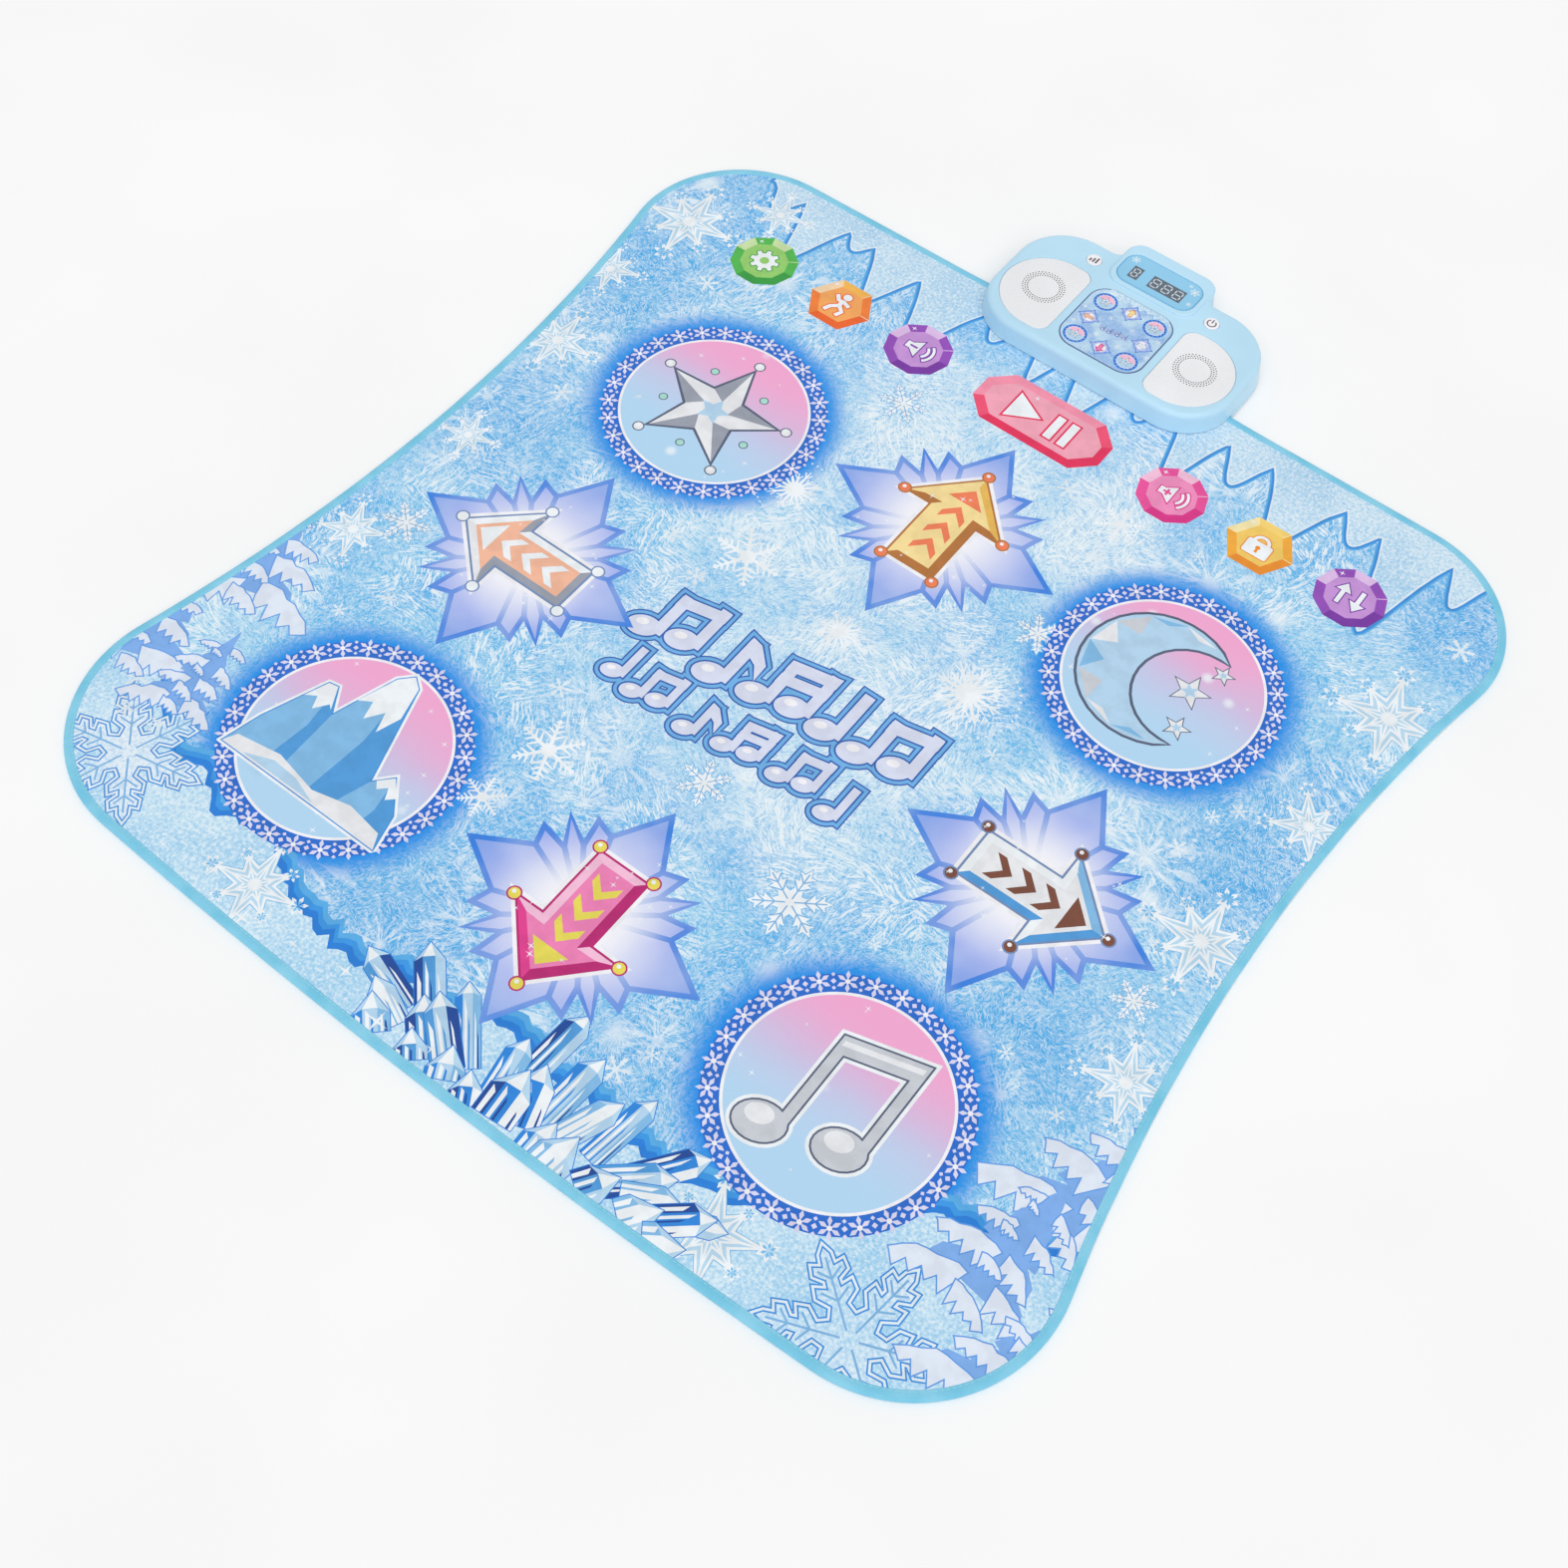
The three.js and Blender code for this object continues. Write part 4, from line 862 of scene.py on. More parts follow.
def veins(x, y, radius, turn, end, twigs, width):
    """Fine engraved lines along each arm of a snow crystal and on its twigs."""
    lines = [[(0.1, 0), (end, 0)]]
    lines += [[(reach, 0), (tip, side * high)] for reach, tip, high in twigs for side in SIDES]
    arm = [ribbon([(radius * u, radius * v) for u, v in line], radius * width) for line in lines]
    return armed(arm, x, y, turn, 6, "engraved")


def paper_flake(x, y, radius, turn):
    """A bold cut-out snow star with fine engraved branches."""
    body = six_armed(x, y, radius, turn, [(30, 0.3), (15, 0.4), (21, 0.62), (10, 0.6), (14, 0.84), (6, 0.8)])
    fine = veins(x, y, radius, turn, 0.86, ((0.34, 0.54, 0.2), (0.58, 0.76, 0.17)), 0.035)
    return [(grown(body, 0.8), "lace_edge"), (body, "snow")] + fine


def crystal_flake(x, y, radius, turn):
    """A small six-armed flake as one outline."""
    half = [(30, 0.14), (9, 0.3), (19, 0.56), (7, 0.5), (11, 0.78), (3, 0.72)]
    return [(six_armed(x, y, radius, turn, half), "lace")]


def sun_flake(x, y, radius):
    """A white disc with feathered rays, in a ring of dots."""
    shapes = discs(x, y, (radius * 0.24, 20, "snow", 0))
    for k in range(16):
        reach = radius * (0.56 if k % 2 else 0.74)
        ray = [ribbon([(radius * 0.2, 0), (reach, 0)], radius * 0.07, 1.3, 1.0)]
        ray += [ribbon([(reach * 0.62, 0), (reach * 0.88, side * radius * 0.1)], radius * 0.035)
                for side in SIDES]
        shapes += [(put(part, x, y, 22.5 * k), "snow") for part in ray]
    dots = 40
    for k in range(dots):
        shapes += discs(*spot(x, y, 360 * k / dots, radius), (radius * 0.032, 5, "lace", 0))
    return shapes


def hanging_line(spikes, base, left, right, swell=5.0):
    """A lower edge from left to right that hangs down in spikes of (x, half width, length, roundness)."""
    def drop(x):
        found = 0.0
        for at, wide, long, blunt in spikes:
            share = abs(x - at) / wide
            if share < 1:
                slope = (math.hypot(share, blunt) - blunt) / (math.hypot(1, blunt) - blunt)
                found = max(found, long * (1 - slope) ** 1.9)
        return found

    xs = set(range(left, right + 1, 12))
    for at, wide, _, _ in spikes:
        shares = (-1, -0.7, -0.45, -0.25, -0.12, -0.05, 0, 0.05, 0.12, 0.25, 0.45, 0.7, 1)
        xs |= {at + wide * share for share in shares}
    return [(x, base + swell * math.sin(x / 29) - drop(x)) for x in sorted(xs) if left <= x <= right]


def fringe():
    """Icicles along the far edge: pale bodies with a light rim and a blue outline."""
    spikes = [(-352, 24, 40, 0.5), (-306, 40, 88, 0.22), (-262, 24, 30, 0.6), (-214, 46, 74, 0.16),
              (-150, 58, 116, 0.1), (-92, 30, 46, 0.3), (-38, 26, 60, 0.12), (14, 36, 84, 0.2),
              (66, 26, 46, 0.4), (122, 34, 88, 0.14), (172, 30, 52, 0.4), (232, 54, 104, 0.12),
              (290, 30, 44, 0.5), (340, 44, 122, 0.14), (392, 26, 56, 0.4)]
    body = hanging_line(spikes, 452, -378, 418) + [(418, 500), (-378, 500)]
    grows = ((4.6, "bank_far"), (3.0, "outline_blue"), (0.6, "lace"), (-1.0, "icicle"))
    return [(grown(body, grow), ink) for grow, ink in grows]


def snow_line(lift):
    """The ragged upper edge of the snow bank, from right to left."""
    line = []
    ragged = random.Random(11)
    for i in range(139):
        x = 460 - 6.7 * i
        side = max(0.0, (abs(x + 30) - 190) / 240)
        broken = 5 * ragged.uniform(-1, 1) + 9 * math.sin(x / 19 + 1.7 * math.sin(x / 47))
        rise = 11 * math.sin(x / 43 + 0.6) + broken * (1 - 0.5 * side) + 112 * side ** 1.4
        line.append((x, lift - 414 + rise))
    return line


def engraved(x, y, radius, turn):
    """A large snow crystal pressed into the bank, with a double contour and fine branches."""
    half = [(0.38, 0.07), (0.5, 0.2), (0.59, 0.19), (0.55, 0.065), (0.66, 0.06), (0.74, 0.17), (0.82, 0.16),
            (0.79, 0.055), (0.93, 0.045)]
    arm = polar(0, 0, [(-30, 0.26)]) + [(u, -v) for u, v in half] + [(1.0, 0.0)] + half[::-1]
    rim = [p for k in range(6) for p in put(arm, x, y, turn + 60 * k, radius)]
    grows = ((4.2, "outline_blue"), (3.0, "lace"), (1.2, "outline_blue"), (0, "hill"))
    shapes = [(grown(rim, grow), ink) for grow, ink in grows]
    return shapes + veins(x, y, radius, turn, 0.9, ((0.42, 0.54, 0.15), (0.66, 0.77, 0.13)), 0.025)


def drift():
    """A snow bank along the near edge, rising at both sides, with a deep line behind it."""
    levels = ((17, "bank_far"), (11.5, "bank_mid"), (6.5, "bank_near"), (0, "drift"))
    shapes = [([(-470, -480), (470, -480)] + snow_line(lift), ink) for lift, ink in levels]
    return shapes + engraved(-372, -404, 62, 12) + engraved(352, -430, 66, 22)


CRYSTAL_TONES = (
    ("navy", "ice_a", "ice_c"), ("glow_blue", "ice_c", "ice_b"), ("ice_b", "snow", "ice_c"),
    ("navy", "glow_blue", "snow"), ("ice_a", "ice_c", "navy"),
)


def crystal(x, y, angle, width, length, tones):
    """A glassy six-sided prism with a pointed cap and streaks of light in its faces."""
    w, cap = width / 2, length - width * 0.5
    left, right, low = -0.45 * w, 0.35 * w, cap - 0.3 * w
    tip = (0.1 * w, length)
    parts = [
        (grown([(-w, 0), (w, 0), (w, low), tip, (-w, low)], 0.7), "bank_near"),
        ([(-w, 0), (left, 0), (left, cap), (-w, low)], tones[0]),
        (block(left, 0, right, cap), tones[1]),
        ([(right, 0), (w, 0), (w, low), (right, cap)], tones[2]),
        ([(-w, low), (left, cap), tip], "ice_c"),
        ([(left, cap), (right, cap), tip], "snow"),
        ([(right, cap), (w, low), tip], "lace_fill"),
    ]
    streaks = ((-0.82, -0.6, 0.8, "snow"), (-0.3, -0.1, 0.94, "snow"), (0.0, 0.12, 0.7, tones[0]),
               (0.5, 0.66, 0.76, "snow"), (0.72, 0.86, 0.5, "navy"))
    for near, far, end, ink in streaks:
        streak = [(near * w, 0), (far * w, 0), (far * w * 0.94, cap * end * 0.8), (near * w, cap * end)]
        parts.append((streak, ink))
    return [(put(part, x, y, angle), ink) for part, ink in parts]


# Each row's level, number of crystals, shortest, longest and width
CRYSTAL_ROWS = ((-436, 8, 66, 88, 24), (-448, 9, 48, 70, 30), (-462, 10, 26, 46, 34))


def crystals():
    """A heap of ice crystals at the near edge, the hind ones first."""
    shapes = []
    heap = random.Random(5)
    for level, count, short, long, wide in CRYSTAL_ROWS:
        for k in range(count):
            share = k / (count - 1)
            x = -52 + 250 * share + heap.uniform(-8, 8)
            angle = 62 - 124 * share + heap.uniform(-20, 20)
            size = heap.uniform(short, long) * (0.72 + 0.28 * math.sin(math.pi * share))
            shapes += crystal(x, level + heap.uniform(-6, 4), angle, heap.uniform(0.7, 1.0) * wide, size,
                              CRYSTAL_TONES[heap.randrange(len(CRYSTAL_TONES))])
    return shapes


def bough(x, y, length, lean, side, ragged):
    """A snow-laden branch: a wavy back over ragged fingers, thinner towards its tip."""
    clump = []
    for k in range(8):
        share = k / 7
        swell = math.sin(math.pi * min(1.0, 0.2 + 0.8 * share)) ** 0.7
        rise = 0.2 * swell * ragged.uniform(0.8, 1.25) - 0.12 * share
        clump.append((side * length * share, length * rise))
    for k in range(9):
        share = 0.97 - k / 9
        depth = ragged.uniform(0.24, 0.4) if k % 2 else ragged.uniform(0.02, 0.1)
        clump.append((side * length * share, -length * (depth * (1 - 0.6 * share) + 0.12 * share)))
    clump = put(clump, x, y, lean)
    return [(grown(clump, 1.1), "tree_shade"), (clump, "tree_snow")]


def fir(x, y, size, lean):
    """A snowy tree: a few long laden boughs over blue gaps, the lowest first."""
    ragged = random.Random(int(x + 3 * y))
    half = []
    for tier in range(5):
        share = 1 - tier / 5
        half += [(0.36 * share, 0.9 - 0.88 * share), (0.33 * share, 0.98 - 0.86 * share),
                 (0.2 * share, 1.04 - 0.84 * share)]
    tree = half + [(0.0, 1.04)] + [(-px, py) for px, py in half[::-1]]
    shapes = [(put(tree, x, y, lean, size), "tree_gap")]
    for level in range(4):
        share = 1 - level / 4.6
        for side in (-1, 1, 0):
            px = 0.05 * side + ragged.uniform(-0.04, 0.04) - (0.0 if side else 0.12)
            py = 0.06 + 0.24 * level + ragged.uniform(-0.04, 0.04) - (0.0 if side else 0.09)
            foot = put([(px * size, py * size)], x, y, lean)[0]
            reach = size * share * (0.48 if side else 0.3) * ragged.uniform(0.8, 1.25)
            droop = lean - 9 * (side or 1) + ragged.uniform(-12, 12)
            shapes += bough(*foot, reach, droop, side or 1, ragged)
    return shapes


# Music signs: heads, stems as (x, low, high), beams as (left, low, right, high) and flags
HEADS, STEMS = [(-20, -20), (12, -12)], [(-8, -20, 24), (24, -12, 32)]
GLYPHS = {
    "pair": (HEADS, STEMS, [(-12.6, 12, 28.6, 22)], []),
    "double": (HEADS, STEMS, [(-12.6, 14, 28.6, 24), (-12.6, 0, 28.6, 9)], []),
    "single": ([(-6, -20)], [(6, -20, 26)], [], [(6, 28)]),
    "long": ([(-4, -20)], [(8, -20, 28)], [], []),
}
FLAG = [(-4, 0), (5, -2), (19, -16), (20, -32), (12, -20), (-4, -12)]


def glyph(kind, x, y, size, grow):
    """One music sign as overlapping convex outlines, grown by a margin."""
    heads, stems, beams, flags = GLYPHS[kind]
    parts = [put(oval(9.4, 22, 1.45), *head, 22) for head in heads]
    parts += [block(at - 4.2, low, at + 4.2, high) for at, low, high in stems]
    for left, low, right, high in beams:
        parts.append([(left, low), (right, low + 9), (right, high + 9), (left, high)])
    parts += [put(FLAG, *flag) for flag in flags]
    return [grown(put(part, x, y, 0, size), grow) for part in parts]


def staff():
    """Two waving rows of music signs, white with blue outlines, in the middle of the mat."""
    upper = (("pair", -106), ("single", -52), ("double", 0), ("long", 46), ("pair", 94))
    lower = (("long", -118), ("pair", -82), ("single", -36), ("double", 8), ("pair", 60), ("long", 100))
    signs = [(kind, x * 1.06 - 2, -28 + 7 * math.sin(x / 40), 1.06) for kind, x in upper]
    signs += [(kind, x - 6, -92 + 6 * math.sin(x / 34), 0.7) for kind, x in lower]
    shapes = []
    for grow, ink in ((6.4, "band_dark"), (5.0, "title_band"), (2.2, "title_blue"), (0.6, "title")):
        for sign in signs:
            shapes += [(part, ink) for part in glyph(*sign, grow)]
    for kind, x, y, size in signs:
        for hx, hy in GLYPHS[kind][0]:
            glint = put(oval(3.4 * size, 12, 1.6), x + (hx - 3) * size, y + (hy + 3) * size, 22)
            shapes.append((glint, "line_white"))
    return shapes


EDGE = mat_outline(tape.seam + 0.4)
RIM = mat_outline(0, 100, 60, 220)
rim_tree = kdtree.KDTree(len(RIM))
for rim_index, rim_point in enumerate(RIM):
    rim_tree.insert((*rim_point, 0), rim_index)
rim_tree.balance()

LACE_STARS = [(-406, 350, 58, 8), (-424, 252, 38, 20), (-402, 150, 46, 5), (-388, 12, 32, 15),
              (404, 262, 58, 12), (402, 128, 42, 30), (386, -16, 54, 3), (402, -152, 44, 18),
              (-392, -130, 40, 26), (-210, -428, 46, 10), (232, -430, 50, 22), (-344, 414, 36, 14)]
PAPER_FLAKES = [(-112, 60, 32), (-362, -96, 24), (118, -186, 34), (-116, -196, 30), (-150, 352, 16),
                (372, -92, 20), (-128, -262, 20), (128, 150, 22), (-110, 290, 24), (120, 296, 22),
                (0, -142, 24)]
SUN_FLAKES = [(116, 62, 44), (-4, 46, 30), (-126, 146, 34)]
FIRS = [(-416, -236, 116, 16), (-438, -338, 122, 18), (-378, -352, 84, 6), (428, -276, 126, -16),
        (398, -352, 112, -8), (440, -420, 118, -20)]
SMALL_STAR_TRIES = 520
# Room that small snow stars keep from pads' middles, edges, the row of keys and the music signs
room = Sizes(star=108, disc=122, far=400, near=-385, keys=36, keys_end=360, signs=62, signs_end=150,
             signs_row=-62)


def clear_of_pads(x, y, reach):
    """Whether a snow star of that reach keeps off pads, keys, music signs and edges."""
    for pad in PADS:
        if math.dist((x, y), (pad.x, pad.y)) < reach + (room.star if pad.star else room.disc):
            return False
    if y + reach > room.far or abs(y - rows.keys) < reach + room.keys and abs(x) < room.keys_end:
        return False
    if abs(x) < room.signs_end + reach and abs(y - room.signs_row) < room.signs + reach:
        return False
    return inside(x, y, grown(EDGE, -reach * 0.92 - 4)) and y > room.near + reach * 0.6


def snow_stars():
    """Large snow stars at given places, and seeded small ones between the pads."""
    shapes = []
    for one in SUN_FLAKES:
        shapes += sun_flake(*one)
    for one in LACE_STARS:
        shapes += lace_star(*one)
    for i, one in enumerate(PAPER_FLAKES):
        shapes += paper_flake(*one, 17 * i) if i % 3 else flake(*one, 17 * i, 1.6)
    taken = [one[:3] for one in LACE_STARS + PAPER_FLAKES + SUN_FLAKES]
    for _ in range(SMALL_STAR_TRIES):
        r = random.uniform(7, 16)
        x, y = random.uniform(-430, 430), random.uniform(-400, 400)
        turn = random.uniform(0, 60)
        if clear_of_pads(x, y, r) and all(math.dist((x, y), (a, b)) > r + c + 4 for a, b, c in taken):
            taken.append((x, y, r))
            shapes += crystal_flake(x, y, r, turn)
    return shapes


# Motifs on the pads and keys

def gem_star(x, y, radius):
    """A five-pointed star cut in ten facets."""
    points = star_points(x, y, radius, 5, 0.44)
    shapes = [(grown(points, 2.6), "slate"), (points, "silver")]
    for i, (a, b) in enumerate(sides(points)):
        shapes.append(([(x, y), a, b], "silver_light" if i % 2 else "silver_dark"))
    shapes += [(star_points(x, y, radius * 0.45, 5, 0.5, 270), "silver_light"),
               (star_points(x, y, radius * 0.26, 5, 0.5, 90), "ice_c")]
    for k in range(5):
        shapes += discs(*spot(x, y, 90 + 72 * k, radius * 1.16), (5.6, 16, "slate", 0),
                        (4.4, 16, "silver_light", 0), (2, 12, "snow", 1))
    for k in range(5):
        shapes += discs(*spot(x, y, 54 + 72 * k, radius * 0.8), (4.4, 14, "slate", 0), (3.4, 14, "mint", 0))
    return shapes


def crescent(x, y, radius):
    """A faceted moon with three small stars."""
    outer = arc(x, y, radius, math.radians(50), math.radians(310), 24)
    bow = arc(x + radius * 0.52, y, radius * 0.78, math.radians(281), math.radians(79), 18)
    moon = outer + bow[1:-1]
    shapes = [(grown(moon, 2.6), "slate"), (moon, "ice_c")]
    for i in range(8):
        start, end = 66 + 28.5 * i, 66 + 28.5 * (i + 1)
        middle = (start + end) / 2
        tall = 0.68 if 110 < middle < 250 else 0.86
        wedge = polar(x, y, [(start, radius * 0.97), (middle, radius * tall), (end, radius * 0.97)])
        shapes.append((wedge, ("silver_light", "ice_b", "silver")[i % 3]))
    for px, py, r in ((30, 6, 17), (44, 38, 9), (40, -32, 11)):
        shapes += [(star_points(x + px, y + py, r + 2.4), "slate"),
                   (star_points(x + px, y + py, r), "silver_light"),
                   (star_points(x + px, y + py, r * 0.5, turn=270), "ice_c")]
    return shapes


# Three mountains in hundredths of their size: the whole, then its shaded sides, snow and foot
RIDGE = [(-95, -72), (98, -72), (88, -34), (62, -2), (46, -20), (10, 86), (-2, 95), (-14, 82), (-34, 12),
         (-52, 40), (-62, 38), (-86, -30)]
SLOPES = (
    ([(-2, 95), (10, 86), (46, -20), (30, -72), (5, -72), (10, 10)], "ice_a"),
    ([(-52, 40), (-34, 12), (-30, -72), (-50, -72), (-44, -10)], "ice_a"),
    ([(62, -2), (88, -34), (98, -72), (66, -72), (70, -40)], "ice_a"),
    ([(-2, 95), (-14, 82), (-27, 40), (-14, 48), (-8, 28), (4, 46), (12, 24), (20, 50), (10, 86)], "snow"),
    ([(-52, 40), (-62, 38), (-71, 13), (-60, 20), (-54, 6), (-44, 20), (-39, 16)], "snow"),
    ([(62, -2), (50, -15), (56, -22), (64, -14), (70, -26), (78, -18)], "snow"),
    ([(-95, -72), (98, -72), (90, -56), (50, -50), (10, -60), (-40, -50), (-88, -58)], "silver_light"),
    ([(-70, -70), (20, -70), (-10, -60), (-40, -58)], "ice_c"),
)


def peaks(x, y, size):
    """Three snowy mountains on a low ridge."""
    whole = put(RIDGE, x, y, 0, size / 100)
    shapes = [(grown(whole, 3.2), "snow"), (grown(whole, 1), "outline_blue"), (whole, "ice_b")]
    return shapes + [(put(slope, x, y, 0, size / 100), ink) for slope, ink in SLOPES]


def notes(x, y, size):
    """A beamed pair of notes in grey and white."""
    heads = ((-0.56, -0.62), (0.3, -0.36))
    parts = [[(-0.42, 0.5), (0.56, 0.78), (0.56, 1.02), (-0.42, 0.74)],
             block(-0.42, -0.6, -0.3, 0.7), block(0.44, -0.34, 0.56, 0.98)]
    parts += [put(oval(0.23, 24, 1.32), *head, 18) for head in heads]
    glints = [put(oval(0.12, 16, 1.4), hx - 0.05, hy + 0.07, 18) for hx, hy in heads]
    glints.append([(-0.38, 0.62), (0.52, 0.88), (0.52, 0.95), (-0.38, 0.69)])
    shapes = [(grown(put(part, x, y, 0, size), grow), ink)
              for grow, ink in ((4.4, "snow"), (1.6, "slate"), (0, "silver")) for part in parts]
    return shapes + [(put(glint, x, y, 0, size), "silver_light") for glint in glints]


def bevelled(points, margin, inks):
    """A raised sign: rim facets shaded by the way they face, round a flat middle."""
    dark, plain, light, middle = inks
    inner = grown(points, -margin)
    outward = math.copysign(90, signed_area(points))
    shapes = [(points, plain)]
    for (a, b), (d, c) in zip(sides(points), sides(inner)):
        away = math.degrees(math.atan2(b[1] - a[1], b[0] - a[0])) - outward
        lit = math.cos(math.radians(away - 125))
        shapes.append(([a, b, c, d], light if lit > 0.4 else dark if lit < -0.3 else plain))
    return shapes + [(inner, middle)]


ARROW = [(0.98, 0), (0.24, -0.7), (0.24, -0.33), (-0.74, -0.33), (-0.74, 0.33), (0.24, 0.33), (0.24, 0.7)]
SMALL_ARROW = [(0.98, 0), (0.2, -0.7), (0.2, -0.3), (-0.7, -0.3), (-0.7, 0.3), (0.2, 0.3), (0.2, 0.7)]
BEADS = [(0.24, 0.74), (0.24, -0.74), (-0.79, 0.38), (-0.79, -0.38), (1.05, 0)]
CHEVRON = [(0, -0.17), (0.12, -0.17), (0.3, 0), (0.12, 0.17), (0, 0.17), (0.17, 0)]
ARROWS = {
    "far": (90, ("gold_dark", "gold_dark", "gold", "gold_light", "gold_light", "coral")),
    "near": (270, ("magenta_dark", "magenta_dark", "magenta", "pink_light", "magenta_light", "lemon")),
    "left": (180, ("slate_soft", "silver_dark", "silver_light", "snow", "coral_light", "snow")),
    "right": (0, ("slate_soft", "ice_a", "ice_b", "snow", "silver_light", "wood")),
}


def arrow(x, y, size, angle, inks):
    """A bold raised arrow with chevrons and beads at its corners."""
    edge, rim, body, light, band, mark = inks
    full = put(ARROW, x, y, angle, size)
    shapes = [(grown(full, 5.4), "line_white"), (grown(full, 2.0), edge)]
    shapes += bevelled(full, size * 0.1, (rim, body, light, band))
    marks = [[(start + u, v) for u, v in CHEVRON] for start in (-0.52, -0.2, 0.12)]
    marks.append([(0.76, 0), (0.5, -0.25), (0.5, 0.25)])
    shapes += [(put(part, x, y, angle, size), mark) for part in marks]
    for bead in put(BEADS, x, y, angle, size):
        shapes += discs(*bead, (6.4, 14, edge, 0), (5.0, 14, mark, 0), (1.9, 8, "snow", 1.2))
    return shapes


def scattered(pad, inner, outer, count):
    """Small sparkles round a pad's middle."""
    found = []
    for _ in range(count):
        angle, reach = random.uniform(0, 360), random.uniform(inner, outer)
        found.append(sparkle(*spot(pad.x, pad.y, angle, reach), random.uniform(1.6, 4.2)))
    return found


def ring_flowers(pad):
    """Small lace flowers round a pad, drawn on the pad and on the cloth round it alike."""
    shapes = []
    middle = disc.radius - 6
    for k in range(disc.flowers):
        angle = 360 * (k + 0.5) / disc.flowers
        flower = spot(pad.x, pad.y, angle, middle)
        shapes += rosette(*flower, 9.2, angle, "bead") + discs(*flower, (2.2, 6, "line_white", 0))
        for reach, size in ((middle, 2.3), (middle + 5.6, 1.7), (middle - 5.6, 1.7)):
            bead = spot(pad.x, pad.y, angle + 180 / disc.flowers, reach)
            shapes.append(diamond(*bead, angle, size, "bead"))
    return shapes


ROUND_MOTIFS = {
    "far_left": (gem_star, 0, -2, 60), "far_right": (crescent, -8, 0, 66),
    "near_left": (peaks, 0, 4, 84), "near_right": (notes, 2, -6, 68),
}


def round_pad(pad):
    """Sky, white line, a deep ring of flowers and beads, and a motif in the middle."""
    sky = "sky_far" if pad.y > rows.middle else "sky_near"
    motif, right, up, size = ROUND_MOTIFS[pad.name]
    shapes = ring_flowers(pad)
    shapes += discs(pad.x, pad.y, (disc.line_out, 96, "line_white", 0), (disc.line_in, 96, sky, 0))
    return shapes + scattered(pad, 62, 80, 10) + motif(pad.x + right, pad.y + up, size)


def star_pad(pad):
    """Panels between darker ribs that fade into the middle, and an arrow."""
    shapes = [(grown(burst_outline(pad.x, pad.y), -star.border), "burst")]
    for angle, reach in ((20.8, 75), (38, 66), (52, 66), (69.2, 75)):
        for quarter in range(4):
            ends = polar(pad.x, pad.y, [(angle + 90 * quarter, 28), (angle + 90 * quarter, reach)])
            shapes.append((ribbon(ends, star.border), "burst_rim"))
    return shapes + arrow(pad.x, pad.y, star.arrow, *ARROWS[pad.name]) + scattered(pad, 34, 76, 14)


def facets(outer, inner, hue):
    """Rim facets between two outlines, bright at the far left, with light edges."""
    faces, edges = [], []
    middle = sum(p[0] for p in outer) / len(outer)
    for (a, b), (d, c) in zip(sides(outer), sides(inner)):
        way = math.degrees(math.atan2((a[1] + b[1]) / 2 - rows.keys, (a[0] + b[0]) / 2 - middle))
        lit = math.cos(math.radians(way - 125))
        ink = f"{hue}_light" if lit > 0.55 else f"{hue}_dark" if lit < -0.45 else hue
        if len(outer) == 10 and lit > 0.97:
            ink = hue
        if len(outer) == 6 and abs(way - 90) < 1:
            ink = f"{hue}_side"
        faces.append(([a, b, c, d], ink))
        if lit > -0.2:
            edges.append((ribbon([a, d], 0.9), f"{hue}_light"))
    return faces + edges


def speaker_icon(sign, plus):
    """A loudspeaker with a plus or minus on it and two sound bows."""
    bows = [arc(1, 0, radius, math.radians(-48), math.radians(48), 8) for radius in (9, 14)]
    shapes = [([(-13, -4), (-8, -4), (1, -11), (1, 11), (-8, 4), (-13, 4)], "snow")]
    shapes += [(ribbon(bow, 2.6), "snow") for bow in bows] + [(block(-9, -1.2, -1, 1.2), sign)]
    return shapes + ([(block(-6.2, -4, -3.8, 4), sign)] if plus else [])


TEETH = [(a + 45 * i, r) for i in range(8) for a, r in ((0, 10), (6, 14), (22, 14), (28, 10))]
LIMBS = ([(-1, 5), (1, -4)], [(-9, 9), (-4, 3), (1, 4), (9, 1)], [(1, -3), (7, -8), (4, -15)],
         [(0, -3), (-6, -8), (-9, -15)])
UP_ARROW = [(-2, -12), (2, -12), (2, 3), (7, 3), (0, 13), (-7, 3), (-2, 3)]
ICONS = {
    "start": [([(-33, -17), (-2, 0), (-33, 17)], "snow"), (block(9, -15, 17, 15), "snow"),
              (block(24, -15, 32, 15), "snow")],
    "game": [(polar(0, 0, TEETH), "snow"), (circle(0, 0, 4.6, 16), "green_table")],
    "dance": [(ribbon(limb, 4.2), "snow") for limb in LIMBS] + [(circle(1, 11, 4.4, 16), "snow")],
    "volume_down": speaker_icon("purple", False),
    "volume_up": speaker_icon("pink", True),
    "lock": [(arc(0, 3, 8.5, 0, math.pi, 12) + arc(0, 3, 5.2, math.pi, 0, 12), "snow"),
             (rounded_box(0, -5, 12, 8.5, 2, 4), "snow"), (circle(0, -3.6, 2.4, 12), "yellow_dark"),
             ([(-1, -5), (1, -5), (1.6, -9.5), (-1.6, -9.5)], "yellow_dark")],
    "track": [(put(UP_ARROW, -8, 0), "snow"), (put(UP_ARROW, 8, 0, 180), "snow")],
}


